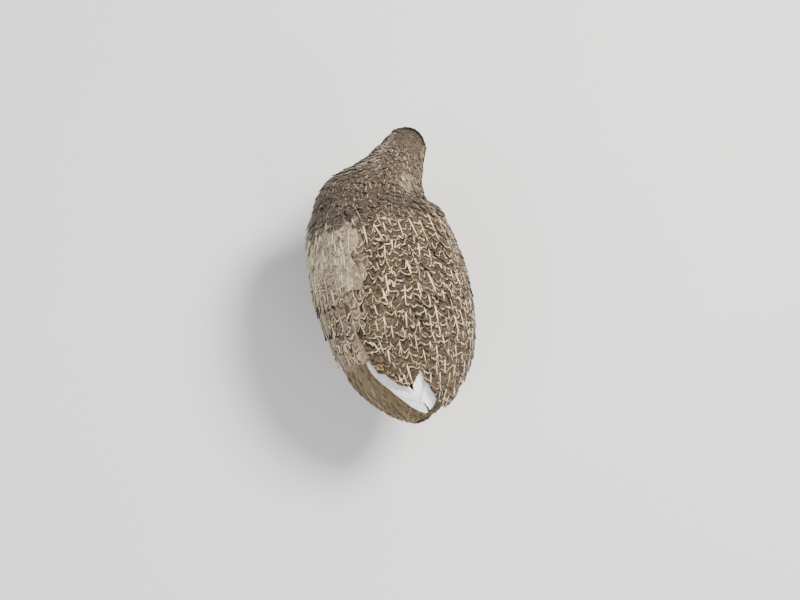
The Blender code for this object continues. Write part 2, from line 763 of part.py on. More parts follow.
def build():
    for old in list(bpy.data.objects):
        bpy.data.objects.remove(old)
    torso()
    neck()
    head()
    bill_upper()
    bill_lower()
    tail()
    for side in (LEFT, RIGHT):
        eye(side)
        folded_wing(side)
        thigh(side)
        shank(side)
        foot(side)
        for number, row in enumerate(TOES, 1):
            claw(side, number, row)


build()
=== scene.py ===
import math

import bpy
import numpy as np
from mathutils import Matrix, Vector
from mathutils.kdtree import KDTree


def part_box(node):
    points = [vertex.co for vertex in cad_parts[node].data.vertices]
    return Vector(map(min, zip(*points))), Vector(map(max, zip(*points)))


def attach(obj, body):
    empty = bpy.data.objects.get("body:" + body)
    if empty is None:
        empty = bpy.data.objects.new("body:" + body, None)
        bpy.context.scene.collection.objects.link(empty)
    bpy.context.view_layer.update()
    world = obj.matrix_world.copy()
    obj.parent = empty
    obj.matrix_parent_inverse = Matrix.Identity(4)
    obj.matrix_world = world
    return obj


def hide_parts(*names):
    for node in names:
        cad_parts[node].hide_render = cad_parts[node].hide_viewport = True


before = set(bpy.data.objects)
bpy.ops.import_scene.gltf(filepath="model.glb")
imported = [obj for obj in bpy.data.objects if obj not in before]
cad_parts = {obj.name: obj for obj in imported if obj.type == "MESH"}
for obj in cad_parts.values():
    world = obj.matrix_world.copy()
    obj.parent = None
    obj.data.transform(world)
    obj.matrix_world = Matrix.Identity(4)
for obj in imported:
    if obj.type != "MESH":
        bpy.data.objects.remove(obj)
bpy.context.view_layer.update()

print("quail: frame loaded")

mm = 0.001
dice = np.random.default_rng(41)


# small helpers for working in the viewport's way
def clearSelection():
    if bpy.context.object and bpy.context.object.mode != "OBJECT":
        bpy.ops.object.mode_set(mode="OBJECT")
    bpy.ops.object.select_all(action="DESELECT")


def pick(*objects):
    clearSelection()
    for one in objects:
        one.select_set(True)
    bpy.context.view_layer.objects.active = objects[0]
    return objects[0]


def settle(piece):
    # puts the place into the mesh, so that the object sits at the origin
    pick(piece)
    bpy.ops.object.transform_apply(location=True, rotation=True, scale=True)
    return piece


def putModifier(piece, kind, **settings):
    pick(piece)
    change = piece.modifiers.new(kind.lower(), kind)
    for key, value in settings.items():
        setattr(change, key, value)
    bpy.ops.object.modifier_apply(modifier=change.name)
    return piece


def smooth(piece):
    pick(piece)
    bpy.ops.object.shade_smooth()
    return piece


def melt(piece, voxel, rounds):
    # makes one fine, rounded surface of all that the piece holds
    putModifier(piece, "REMESH", mode="VOXEL", voxel_size=voxel)
    putModifier(piece, "SMOOTH", iterations=rounds, factor=0.5)
    return smooth(piece)


def facesOut(piece):
    pick(piece)
    bpy.ops.object.mode_set(mode="EDIT")
    bpy.ops.mesh.select_all(action="SELECT")
    bpy.ops.mesh.normals_make_consistent(inside=False)
    bpy.ops.object.mode_set(mode="OBJECT")
    return piece


def copyOfNodes(name, nodes):
    # a merged copy of some CAD nodes, to work finer detail into
    copies = []
    for node in nodes:
        fresh = bpy.data.objects.new(node + "Copy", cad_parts[node].data.copy())
        bpy.context.scene.collection.objects.link(fresh)
        copies.append(fresh)
    pick(*copies)
    if len(copies) > 1:
        bpy.ops.object.join()
    piece = bpy.context.object
    bpy.ops.object.mode_set(mode="EDIT")
    bpy.ops.mesh.select_all(action="SELECT")
    bpy.ops.mesh.remove_doubles(threshold=0.00002)
    bpy.ops.mesh.customdata_custom_splitnormals_clear()
    bpy.ops.object.mode_set(mode="OBJECT")
    piece.name = name
    piece.data.name = name
    piece.data.materials.clear()
    return piece


# shader maths
class Wire:
    # an output socket that takes part in sums
    def __init__(self, shade, socket):
        self.shade = shade
        self.socket = socket

    def __add__(self, other):
        return self.shade.maths("ADD", self, other)

    def __radd__(self, other):
        return self.shade.maths("ADD", other, self)

    def __sub__(self, other):
        return self.shade.maths("SUBTRACT", self, other)

    def __rsub__(self, other):
        return self.shade.maths("SUBTRACT", other, self)

    def __mul__(self, other):
        return self.shade.maths("MULTIPLY", self, other)

    def __rmul__(self, other):
        return self.shade.maths("MULTIPLY", other, self)

    def __truediv__(self, other):
        return self.shade.maths("DIVIDE", self, other)

    def __rtruediv__(self, other):
        return self.shade.maths("DIVIDE", other, self)

    def __abs__(self):
        return self.shade.maths("ABSOLUTE", self)


class Shade:
    # one material and the nodes added to it
    def __init__(self, name, **constants):
        self.material = bpy.data.materials.new(name)
        self.material.use_nodes = True
        self.tree = self.material.node_tree
        self.surface = self.tree.nodes["Principled BSDF"]
        for key, value in constants.items():
            self.surface.inputs[key.replace("_", " ")].default_value = value

    def add(self, kind, settings=None, inputs=None, output=0):
        node = self.tree.nodes.new(kind)
        for key, value in (settings or {}).items():
            setattr(node, key, value)
        for key, value in (inputs or {}).items():
            if isinstance(value, Wire):
                self.tree.links.new(value.socket, node.inputs[key])
            else:
                node.inputs[key].default_value = value
        return Wire(self, node.outputs[output])

    def maths(self, operation, first, second=0.0):
        return self.add("ShaderNodeMath", {"operation": operation}, {0: first, 1: second})

    def attribute(self, name, output="Color"):
        return self.add("ShaderNodeAttribute", {"attribute_name": name}, None, output)

    def parts(self, vector):
        node = self.add("ShaderNodeSeparateXYZ", None, {0: vector}).socket.node
        return [Wire(self, node.outputs[k]) for k in range(3)]

    def place(self):
        return self.add("ShaderNodeTexCoord", None, None, "Object")

    def step(self, value, low, high):
        # eases from 0 to 1 between low and high, or from 1 to 0 where low is the larger
        limits = {"Value": value, "From Min": low, "From Max": high}
        return self.add("ShaderNodeMapRange", {"interpolation_type": "SMOOTHSTEP"}, limits)

    def mix(self, amount, first, second):
        return self.add("ShaderNodeMix", {"data_type": "RGBA"}, {0: amount, 6: first, 7: second}, 2)

    def noise(self, where, scale, detail=2.0, roughness=0.5):
        values = {"Vector": where, "Scale": scale, "Detail": detail, "Roughness": roughness}
        return self.add("ShaderNodeTexNoise", None, values)

    def stretch(self, where, factors):
        return self.add("ShaderNodeVectorMath", {"operation": "MULTIPLY"}, {0: where, 1: factors})

    def vector(self, x, y, z):
        return self.add("ShaderNodeCombineXYZ", None, {0: x, 1: y, 2: z})

    def bump(self, height, strength, distance):
        relief = {"Height": height, "Strength": strength, "Distance": distance}
        self.feed("Normal", self.add("ShaderNodeBump", None, relief))

    def feed(self, socket, value):
        self.tree.links.new(value.socket, self.surface.inputs[socket])


def rgb(red, green, blue):
    return (red, green, blue, 1.0)


# the bird's hull: places along it in mm, and angles round it that are 0 on top and 180 under the bird
# Each rib: place in mm, offset left, rise, turn and tilt in degrees, shares of half width, back and belly
hull = {
    "halfWidth": 38.8,
    "backAbove": 37.0,
    "bellyBelow": 37.0,
    "spine": 64.0,
    "shift": (-0.4, 3.1, 0.0),
    "reach": 92.0,
    "headFrom": -64.0,
    "headLength": 26.0,
    "neckJoin": (-69.0, -60.0),
    "ending": 78.5,
    "rounding": 6.0,
    # 1 is an ellipse, and less is squarer
    "fullness": 0.94,
    "front": (
        (-64, -20.2, 9.0, 38, -14, 0.365, 0.345, 0.385),
        (-57, -13.3, 9.5, 30, 3, 0.450, 0.420, 0.560),
        (-49, -3.6, 7.5, 20, 15, 0.705, 0.585, 0.780),
        (-40, 0.8, 4.5, 7, 10, 0.830, 0.760, 0.895),
        (-28, 1.4, 1.5, 0, 3, 0.905, 0.910, 0.970),
        (-12, 0.8, 0, 0, 0, 0.965, 0.990, 1.0),
        (6, 0.3, 0, 0, 0, 1.0, 0.990, 1.0),
        (24, 0.1, 0, 0, 0, 0.975, 0.910, 0.950),
    ),
    "rear": (
        (40, 0.2, -1, 0, 0, 0.900, 0.755, 0.870),
        (52, 0.4, -2, 0, 0, 0.785, 0.620, 0.760),
        (62, 0.3, -3, 0, 0, 0.615, 0.480, 0.600),
        (69, 0.1, -4.5, 0, 0, 0.440, 0.360, 0.420),
        (75, 0, -6, 0, 0, 0.260, 0.240, 0.260),
        (80, 0, -8, 0, 0, 0.130, 0.120, 0.140),
    ),
    "wingRear": (
        (40, 0.2, -1, 0, 0, 0.915, 0.785, 0.880),
        (52, 0.4, -2, 0, 0, 0.800, 0.660, 0.770),
        (62, 0.4, -4, 0, 0, 0.635, 0.560, 0.620),
        (72, 0.2, -6, 0, 0, 0.450, 0.430, 0.440),
        (82, 0, -8, 0, 0, 0.240, 0.290, 0.240),
    ),
    # share of the head's length, turn, tilt, half width, above and below in mm
    "head": (
        (0.0, 36, -14, 13.1, 12.5, 14.0),
        (0.2, 38, -20, 12.7, 12.6, 12.8),
        (0.42, 40, -26, 11.6, 11.7, 10.8),
        (0.62, 40, -30, 10.0, 9.9, 8.9),
        (0.8, 40, -32, 7.8, 7.5, 7.0),
        (0.92, 40, -32, 5.7, 5.4, 5.4),
        (1.0, 40, -32, 3.9, 3.6, 3.9),
    ),
}


def alongRibs(ribs, place):
    # a smooth curve through the ribs, at many places at once
    ribs = np.array(ribs, float)
    place = np.asarray(place, float)
    last = len(ribs) - 1
    k = np.clip(np.searchsorted(ribs[:, 0], place, side="left") - 1, 0, last - 1)
    start, end = ribs[k], ribs[k + 1]
    before, after = ribs[np.maximum(k - 1, 0)], ribs[np.minimum(k + 2, last)]
    span = end[:, :1] - start[:, :1]
    t = (place[:, None] - start[:, :1]) / span
    leaving = (end - before) / (end[:, :1] - before[:, :1]) * span
    arriving = (after - start) / (after[:, :1] - start[:, :1]) * span
    row = (
        start * (2 * t**3 - 3 * t**2 + 1)
        + leaving * (t**3 - 2 * t**2 + t)
        + end * (3 * t**2 - 2 * t**3)
        + arriving * (t**3 - t**2)
    )
    return row[:, 1:]


def directions(turn, tilt):
    turn, tilt = np.radians(turn), np.radians(tilt)
    flat = np.zeros_like(turn)
    forward = np.stack([-np.sin(turn) * np.cos(tilt), -np.cos(turn) * np.cos(tilt), np.sin(tilt) + flat], 1)
    up = np.stack([np.sin(turn) * np.sin(tilt), np.cos(turn) * np.sin(tilt), np.cos(tilt) + flat], 1)
    return np.cross(up, forward), forward, up


def sectionTable(rear, rounded):
    places = np.arange(-hull["reach"], hull["reach"] + 0.01, 0.5)
    trunk = alongRibs(hull["front"] + rear, np.clip(places, hull["headFrom"], rear[-1][0]))
    # past the tail's core the hull rounds off
    if rounded:
        past = np.clip(places - hull["ending"] + hull["rounding"], 0, None) / hull["rounding"]
        trunk[:, 4:7] *= np.sqrt(np.clip(1 - past**2, 0.01, 1))[:, None]
    left, _, up = directions(trunk[:, 2], trunk[:, 3])
    centre = np.stack([trunk[:, 0], places, hull["spine"] + trunk[:, 1]], 1)
    sizes = trunk[:, 4:7] * (hull["halfWidth"], hull["backAbove"], hull["bellyBelow"])
    table = np.concatenate([centre, left, up, sizes, np.full((len(places), 1), hull["fullness"])], 1)
    # the head goes on from the neck along its own bent axis
    fine = np.linspace(0, hull["reach"] + hull["headFrom"], 281)
    gap = fine[1] - fine[0]
    head = alongRibs(hull["head"], np.clip(fine / hull["headLength"], 0, 1))
    left, forward, up = directions(head[:, 0], head[:, 1])
    root = centre[np.searchsorted(places, hull["headFrom"])]
    axis = root + np.cumsum(forward, 0) * gap
    for k in np.nonzero(places < hull["headFrom"])[0]:
        j = int(round((hull["headFrom"] - places[k]) / gap))
        table[k] = np.concatenate([axis[j], left[j], up[j], head[j, 2:5], [1.0]])
    # one smooth run where head and neck meet
    near = (places > hull["neckJoin"][0]) & (places < hull["neckJoin"][1])
    for _ in range(6):
        table[1:-1][near[1:-1]] = (table[:-2] + 2 * table[1:-1] + table[2:])[near[1:-1]] / 4
    return places, table


# The thighs, in mm: their lower end from the top of the shank's box, their lean and the radii at either end
thighLook = {"ankle": (0.0, -2.5, -2.6), "pitch": 36.9, "splay": 3.0, "length": 22.0, "radii": (12.5, 2.9),
             "reach": (-4, 30), "skinDepth": 0.6}
sides = {"left": 1, "right": -1}


def thighLine(word):
    # middle of a thigh in mm and the way down it
    low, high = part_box("shank_" + word)
    ankle = np.array(((low.x + high.x) / 2, high.y, high.z)) / mm + thighLook["ankle"]
    pitch, splay = np.radians(thighLook["pitch"]), np.radians(thighLook["splay"]) * sides[word]
    down = np.array((np.sin(splay) * np.cos(pitch), np.sin(pitch), -np.cos(splay) * np.cos(pitch)))
    return ankle - down * thighLook["length"] / 2, down


def thighTable(word):
    # a thigh from its root in the flank down to the ankle, as places along its own axis
    middle, down = thighLine(word)
    middle = middle - hull["shift"]
    front = np.array((0.0, -1.0, 0.0))
    front -= down * down.dot(front)
    front /= np.linalg.norm(front)
    first, last = thighLook["reach"]
    places = np.linspace(first, last, 69)
    centre = middle + down * (places - thighLook["length"] / 2)[:, None]
    wide, narrow = thighLook["radii"]
    radius = np.interp(places, (0, thighLook["length"], last), (wide, narrow, narrow))[:, None]
    ones = np.ones((len(places), 1))
    columns = [centre, ones * np.cross(down, front), ones * front, radius, radius, radius, ones]
    return places, np.concatenate(columns, 1)


tables = {
    "body": sectionTable(hull["rear"], True),
    "bed": sectionTable(hull["wingRear"], False),
    "thighLeft": thighTable("left"),
    "thighRight": thighTable("right"),
}


def sectionAt(which, place):
    places, table = tables[which]
    return np.stack([np.interp(place, places, table[:, k]) for k in range(13)], -1)


def surfaceAt(which, place, angle):
    row = sectionAt(which, place)
    turn = np.radians(angle)
    sine, cosine = np.sin(turn), np.cos(turn)
    bend = row[..., 12]
    height = np.where(cosine >= 0, row[..., 10], row[..., 11])
    across = np.sign(sine) * np.abs(sine) ** bend * row[..., 9]
    over = np.sign(cosine) * np.abs(cosine) ** bend * height
    return row[..., 0:3] + row[..., 3:6] * across[..., None] + row[..., 6:9] * over[..., None]


def slopesAt(which, place, angle, probe=0.7):
    # outward normal, mm of surface per mm of place, and mm per degree
    along = (surfaceAt(which, place + probe, angle) - surfaceAt(which, place - probe, angle)) / (2 * probe)
    around = (surfaceAt(which, place, angle + probe) - surfaceAt(which, place, angle - probe)) / (2 * probe)
    out = np.cross(around, along)
    out /= np.maximum(np.linalg.norm(out, axis=-1, keepdims=True), 1e-9)
    return out, np.linalg.norm(along, axis=-1), np.linalg.norm(around, axis=-1)


def pointAt(which, place, angle, lift):
    out, _, _ = slopesAt(which, place, angle)
    return surfaceAt(which, place, angle) + out * np.asarray(lift)[..., None]


def ease(value, low, high):
    t = np.clip((np.asarray(value, float) - low) / (high - low), 0, 1)
    return t * t * (3 - 2 * t)


def folded(angle):
    # the same angle between -180 and 180
    return (np.asarray(angle, float) + 180) % 360 - 180


def toScene(points):
    return (points + np.array(hull["shift"])) * mm


def meshFrom(name, points, faces):
    # a mesh from arrays of points in mm and of faces
    mesh = bpy.data.meshes.new(name)
    spots = toScene(points.reshape(-1, 3)).astype(np.float32)
    mesh.vertices.add(len(spots))
    mesh.vertices.foreach_set("co", spots.ravel())
    corners = np.concatenate([np.asarray(f, np.int32).ravel() for f in faces])
    sizes = np.concatenate([np.full(len(f), np.asarray(f).shape[1], np.int32) for f in faces])
    mesh.loops.add(len(corners))
    mesh.loops.foreach_set("vertex_index", corners)
    mesh.polygons.add(len(sizes))
    mesh.polygons.foreach_set("loop_start", (np.cumsum(sizes) - sizes).astype(np.int32))
    mesh.update(calc_edges=True)
    mesh.validate()
    piece = bpy.data.objects.new(name, mesh)
    bpy.context.scene.collection.objects.link(piece)
    return piece


# camera, floor and lights
view = {
    "sideLean": 17.0,
    "rearLean": 13.0,
    "roll": -14.0,
    "distance": 0.51,
    "focal": 961.0,
    "aim": (-0.0004, 0.0125, 0.075),
    "aimPixel": (397, 290),
    "image": (800, 600),
    "sensor": 36,
}


def setCamera():
    leans = [math.tan(math.radians(view[key])) for key in ("sideLean", "rearLean")]
    back = Vector((*leans, 1)).normalized()
    up = Vector((0, -1, 0))
    up = (up - back * up.dot(back)).normalized()
    up = Matrix.Rotation(math.radians(view["roll"]), 3, back) @ up
    right = up.cross(back).normalized()
    wide, high = view["image"]
    offX = (view["aimPixel"][0] - wide / 2) / view["focal"] * view["distance"]
    offY = -(view["aimPixel"][1] - high / 2) / view["focal"] * view["distance"]
    spot = Vector(view["aim"]) + back * view["distance"] - right * offX - up * offY
    turned = Matrix((right, up, back)).transposed().to_euler()
    clearSelection()
    bpy.ops.object.camera_add(location=spot, rotation=turned)
    camera = bpy.context.object
    camera.data.sensor_width = view["sensor"]
    camera.data.lens = view["sensor"] * view["focal"] / wide
    camera.data.clip_start = 0.01
    bpy.context.scene.camera = camera


studio = {
    "floorSize": 3.0,
    "floorColour": (0.66, 0.65, 0.63),
    "world": (0.86, 0.90, 1.0),
    "worldStrength": 0.66,
    "aim": (0, 0, 0.06),
    # name: place, size, watts, colour
    "lights": {
        "key": ((-0.55, -0.25, 1.05), 0.45, 31.0, (1.0, 0.975, 0.94)),
        "fill": ((0.85, 0.35, 0.8), 0.9, 7.5, (0.95, 0.97, 1.0)),
        "back": ((-0.2, 0.95, 0.7), 0.7, 6.2, (1.0, 0.98, 0.95)),
    },
}


def setStudio():
    clearSelection()
    bpy.ops.mesh.primitive_plane_add(size=studio["floorSize"], location=(0, 0, 0))
    floor = bpy.context.object
    floor.name = "studioFloor"
    paint = Shade("paleFloor", Roughness=0.75)
    grain = paint.noise(paint.place(), 9.0, 4.0)
    base = studio["floorColour"]
    darker, lighter = [c * 0.97 for c in base], [min(c * 1.02, 1) for c in base]
    paint.feed("Base Color", paint.mix(grain, rgb(*darker), rgb(*lighter)))
    floor.data.materials.append(paint.material)
    world = bpy.data.worlds.new("softSky")
    bpy.context.scene.world = world
    world.use_nodes = True
    sky = world.node_tree.nodes["Background"]
    sky.inputs["Color"].default_value = rgb(*studio["world"])
    sky.inputs["Strength"].default_value = studio["worldStrength"]
    for name, (spot, size, power, colour) in studio["lights"].items():
        clearSelection()
        facing = (Vector(studio["aim"]) - Vector(spot)).to_track_quat("-Z", "Y").to_euler()
        bpy.ops.object.light_add(type="AREA", location=spot, rotation=facing)
        lamp = bpy.context.object
        lamp.name = name + "Light"
        lamp.data.shape = "DISK"
        lamp.data.size = size
        lamp.data.energy = power
        lamp.data.color = colour


setCamera()
setStudio()
print("quail: camera and studio set")


# markings
# What each kind of plumage looks like: ground, dark and pale colours, then how strongly it is barred,
# streaked along the shaft, fringed and spotted
plumage = {
    "crown": ((0.085, 0.058, 0.036), (0.027, 0.018, 0.011), (0.27, 0.196, 0.118), 0.6, 0.1, 0.5, 0.3),
    "stripe": ((0.27, 0.2, 0.12), (0.06, 0.04, 0.025), (0.5, 0.39, 0.25), 0.15, 0.1, 0.2, 0.0),
    "cheek": ((0.16, 0.103, 0.053), (0.041, 0.025, 0.0156), (0.322, 0.238, 0.144), 0.5, 0.2, 0.4, 0.2),
    "throat": ((0.42, 0.322, 0.191), (0.102, 0.063, 0.034), (0.59, 0.484, 0.328), 0.12, 0.1, 0.2, 0.0),
    "nape": ((0.09, 0.065, 0.041), (0.022, 0.015, 0.0095), (0.36, 0.265, 0.165), 0.6, 0.45, 0.55, 0.3),
    "neckSide": ((0.2, 0.148, 0.088), (0.068, 0.0465, 0.028), (0.36, 0.278, 0.176), 0.25, 0.1, 0.5, 0.5),
    "neckPale": ((0.27, 0.215, 0.145), (0.09, 0.065, 0.042), (0.5, 0.42, 0.3), 0.3, 0.2, 0.6, 0.35),
    "neckTuft": ((0.24, 0.185, 0.12), (0.05, 0.034, 0.02), (0.62, 0.5, 0.35), 0.5, 0.3, 0.7, 0.0),
    "mantle": ((0.062, 0.043, 0.026), (0.013, 0.0088, 0.0053), (0.31, 0.222, 0.13), 0.9, 0.3, 0.5, 0.0),
    "back": ((0.078, 0.052, 0.03), (0.0095, 0.006, 0.0035), (0.74, 0.53, 0.285), 1.0, 1.0, 0.25, 0.0),
    "covert": ((0.42, 0.34, 0.225), (0.075, 0.053, 0.034), (0.95, 0.82, 0.6), 0.55, 1.0, 0.7, 0.2),
    "greater": ((0.3, 0.215, 0.128), (0.022, 0.014, 0.008), (0.95, 0.76, 0.5), 1.0, 1.5, 0.6, 0.0),
    "side": ((0.05, 0.034, 0.0195), (0.008, 0.005, 0.003), (0.58, 0.42, 0.24), 1.0, 1.15, 0.2, 0.0),
    "flank": ((0.21, 0.128, 0.065), (0.035, 0.022, 0.013), (0.59, 0.466, 0.296), 0.35, 0.9, 0.4, 0.6),
    "breast": ((0.294, 0.194, 0.103), (0.03, 0.019, 0.012), (0.5, 0.378, 0.232), 0.3, 0.4, 0.45, 0.9),
    "belly": ((0.42, 0.33, 0.206), (0.15, 0.099, 0.059), (0.574, 0.484, 0.336), 0.1, 0.1, 0.4, 0.0),
    "vent": ((0.168, 0.119, 0.0626), (0.11, 0.076, 0.04), (0.29, 0.218, 0.125), 0.0, 0.0, 0.5, 0.0),
    "rump": ((0.093, 0.062, 0.033), (0.022, 0.014, 0.009), (0.4, 0.29, 0.17), 0.9, 0.6, 0.5, 0.0),
    "thigh": ((0.36, 0.265, 0.155), (0.1, 0.066, 0.038), (0.52, 0.42, 0.28), 0.3, 0.2, 0.5, 0.3),
    "ear": ((0.075, 0.046, 0.026), (0.022, 0.014, 0.009), (0.2, 0.14, 0.08), 0.4, 0.1, 0.3, 0.2),
    "white": ((0.95, 0.94, 0.925), (0.88, 0.865, 0.84), (0.96, 0.96, 0.96), 0.0, 0.0, 0.2, 0.0),
}

# Where each kind lies: place and angle of its middle, its reach along and round, and its side: 0 for both,
# 1 for the left and -1 for the right
patches = (
    ("crown", -78, 0, 12, 40, 0),
    ("crown", -68, 0, 9, 48, 0),
    ("stripe", -80, 0, 12, 4.5, 0),
    ("stripe", -80, 52, 10, 9, 0),
    ("stripe", -70, 50, 7, 8, 0),
    # this pale forehead band is partly the quail's buff forehead and partly painted light, paler to lift the
    # shade that falls on the head's front rim
    ("stripe", -89, 0, 5, 45, 0),
    ("ear", -72, 76, 6, 8, 0),
    ("ear", -86, 80, 4, 9, 0),
    ("cheek", -73, 100, 6, 14, 0),
    ("cheek", -84, 102, 4, 12, 0),
    ("ear", -77, 124, 9, 5, 0),
    ("throat", -80, 175, 15, 42, 0),
    ("throat", -66, 180, 8, 45, 0),
    ("nape", -58, 0, 6, 60, 0),
    ("neckSide", -57, -62, 6, 22, -1),
    ("neckPale", -60, 46, 4.5, 16, 1),
    ("neckTuft", -52, -24, 4.5, 15, -1),
    ("neckSide", -60, 110, 7, 30, 0),
    ("mantle", -44, 0, 9, 75, 0),
    ("mantle", -33, 0, 9, 60, 0),
    ("mantle", -36, 70, 10, 22, 0),
    ("back", -12, 0, 14, 36, 0),
    ("back", 16, 0, 22, 34, 0),
    ("back", 46, 0, 22, 40, 0),
    ("back", 10, -36, 40, 18, -1),
    ("side", 5, -74, 50, 30, -1),
    ("covert", -14, 58, 13, 22, 1),
    ("covert", -18, 90, 12, 18, 1),
    ("covert", -2, 46, 8, 12, 1),
    ("greater", 24, 70, 22, 34, 1),
    ("flank", 5, 118, 34, 16, 0),
    ("flank", 35, 110, 18, 18, 0),
    ("breast", -46, 150, 16, 70, 0),
    ("breast", -30, 130, 14, 40, 0),
    ("belly", 0, 180, 36, 50, 0),
    ("vent", 64, 140, 20, 70, 0),
    ("vent", 60, 75, 18, 38, 1),
    ("side", 57, -72, 18, 28, -1),
    ("rump", 62, 0, 20, 32, 0),
)


# How the borders between the kinds waver: size, waves and start of each sine, and where the wavering sets in
borders = {
    "along": ((2.0, 0.23, 0), (1.3, 0.61, 1)),
    "around": ((3.5, 0.31, 0), (2.0, 0.83, 2)),
    "from": (-70, -45),
    "sharpness": 2.6,
}


def waverOf(way, spot):
    return sum(size * np.sin(spot * waves + start) for size, waves, start in borders[way])


def markingsAt(place, angle):
    # blended colours and amounts at places on the body
    place, signed = np.asarray(place, float), folded(angle)
    amount = ease(place, *borders["from"])
    along, around = waverOf("along", signed), waverOf("around", place)
    place = place + amount * along
    signed = signed + amount * around * np.abs(np.sin(np.radians(signed)))
    total = np.zeros(place.shape)
    blend = np.zeros(place.shape + (13,))
    for kind, midPlace, midAngle, reachPlace, reachAngle, side in patches:
        turned = np.abs(signed) if side == 0 else signed
        far = ((place - midPlace) / reachPlace) ** 2 + ((turned - midAngle) / reachAngle) ** 2
        weight = np.exp(-borders["sharpness"] * far) + 1e-12 / (1 + far)
        total += weight
        blend += weight[..., None] * plumageRow(kind)
    return blend / total[..., None]


def plumageRow(kind, count=None):
    ground, dark, pale, *amounts = plumage[kind]
    row = np.array([*ground, *dark, *pale, *amounts])
    return row if count is None else np.tile(row, (count, 1))


def writeAttribute(mesh, key, kind, values):
    made = mesh.attributes.new(key, kind, "POINT")
    made.data.foreach_set("color" if kind == "FLOAT_COLOR" else "vector", values.astype(np.float32).ravel())


# where each colour starts in a row of plumage
colourColumns = {"ground": 0, "dark": 3, "pale": 6}


# vanes
def modelVane(rows, columns, outline):
    # a grid, its rows drawn in to the feather's outline
    clearSelection()
    bpy.ops.mesh.primitive_grid_add(x_subdivisions=columns - 1, y_subdivisions=rows - 1, size=2)
    vane = bpy.context.object
    levels = sorted({round(v.co.y, 4) for v in vane.data.vertices})
    for level in levels:
        bpy.ops.object.mode_set(mode="EDIT")
        bpy.ops.mesh.select_all(action="DESELECT")
        bpy.ops.object.mode_set(mode="OBJECT")
        for v in vane.data.vertices:
            v.select = abs(v.co.y - level) < 0.001
        bpy.ops.object.mode_set(mode="EDIT")
        width = float(np.interp((level + 1) / 2, *zip(*outline)))
        bpy.ops.transform.resize(value=(width, 1, 1), center_override=(0, level, 0))
    bpy.ops.object.mode_set(mode="OBJECT")
    spots = np.array([v.co[:] for v in vane.data.vertices])
    order = np.lexsort((spots[:, 0], np.round(spots[:, 1], 4)))
    spots = spots[order].reshape(len(levels), -1, 3)
    bpy.data.objects.remove(vane)
    return {"across": spots[..., 0], "along": (spots[:, 0, 1] + 1) / 2}


# outlines: share of the length, share of the half width
softOutline = ((0, 0.3), (0.12, 0.55), (0.3, 0.85), (0.5, 1.0), (0.72, 0.98), (0.86, 0.8), (0.95, 0.5),
               (1, 0.2))
quillOutline = ((0, 0.4), (0.15, 0.8), (0.4, 1.0), (0.7, 0.95), (0.88, 0.75), (0.96, 0.45), (1, 0.15))
plumeOutline = ((0, 0.35), (0.25, 0.8), (0.5, 1.0), (0.75, 0.75), (0.9, 0.4), (1, 0.08))

# one for each kind of feather: rows, columns and outline
vanes = {
    "tiny": modelVane(5, 3, softOutline),
    "small": modelVane(7, 5, softOutline),
    "soft": modelVane(10, 7, softOutline),
    "plume": modelVane(8, 3, plumeOutline),
    "quill": modelVane(22, 7, quillOutline),
    "tertial": modelVane(16, 9, softOutline),
}
print("quail: vanes modelled")


def vaneFaces(rows, columns, turned):
    # the upper side of a vane, a flat strip below it and a cap at either end
    grid = np.arange(rows * columns).reshape(rows, columns)
    upper = np.stack([grid[:-1, :-1], grid[:-1, 1:], grid[1:, 1:], grid[1:, :-1]], -1).reshape(-1, 4)
    lower = np.stack([grid[1:, 0], grid[1:, -1], grid[:-1, -1], grid[:-1, 0]], -1)
    faces = [upper, lower, grid[0, ::-1][None], grid[-1][None]]
    return [f[:, ::-1] for f in faces] if turned else faces


# how vanes differ: middle, spread, least and most of barring and streak, and the spreads of bars and tints
spreads = {
    "barring": (0.9, 0.2, 0.3, 1.2),
    "streak": (0.75, 0.5, 0.0, 1.9),
    "bars": 0.1,
    "tint": 0.2,
    "brightest": 0.95,
}


def varied(key, count):
    middle, spread, least, most = spreads[key]
    return np.clip(middle + spread * dice.standard_normal(count), least, most)


def writeLooks(mesh, look, share, along, draw, halfWidths, length, barEvery):
    # what the feather material reads at every point of every vane
    count, (rows, columns) = len(draw), share.shape
    look = np.array(look, float)
    look[:, 9] *= varied("barring", count)
    look[:, 10] *= varied("streak", count)
    bars = barEvery * np.exp(spreads["bars"] * dice.standard_normal(count))
    parts = (share, along[:, None], draw[:, None, None])
    spot = np.stack([np.broadcast_to(part, (count, rows, columns)) for part in parts], -1)
    writeAttribute(mesh, "vane", "FLOAT_VECTOR", spot)
    writeAttribute(mesh, "marks", "FLOAT_VECTOR", np.repeat(look[:, 9:12], rows * columns, 0))
    sizes = np.stack([halfWidths, length, bars], 1)
    writeAttribute(mesh, "size", "FLOAT_VECTOR", np.repeat(sizes, rows * columns, 0))
    for key, start in colourColumns.items():
        colour = look[:, start:start + 3]
        tone = np.exp(spreads["tint"] * dice.standard_normal(count) - 0.02)
        tone = np.minimum(tone, spreads["brightest"] / np.maximum(colour.max(1), 0.01))
        values = np.concatenate([colour * tone[:, None], look[:, 12:13]], 1)
        writeAttribute(mesh, key, "FLOAT_COLOR", np.repeat(values, rows * columns, 0))


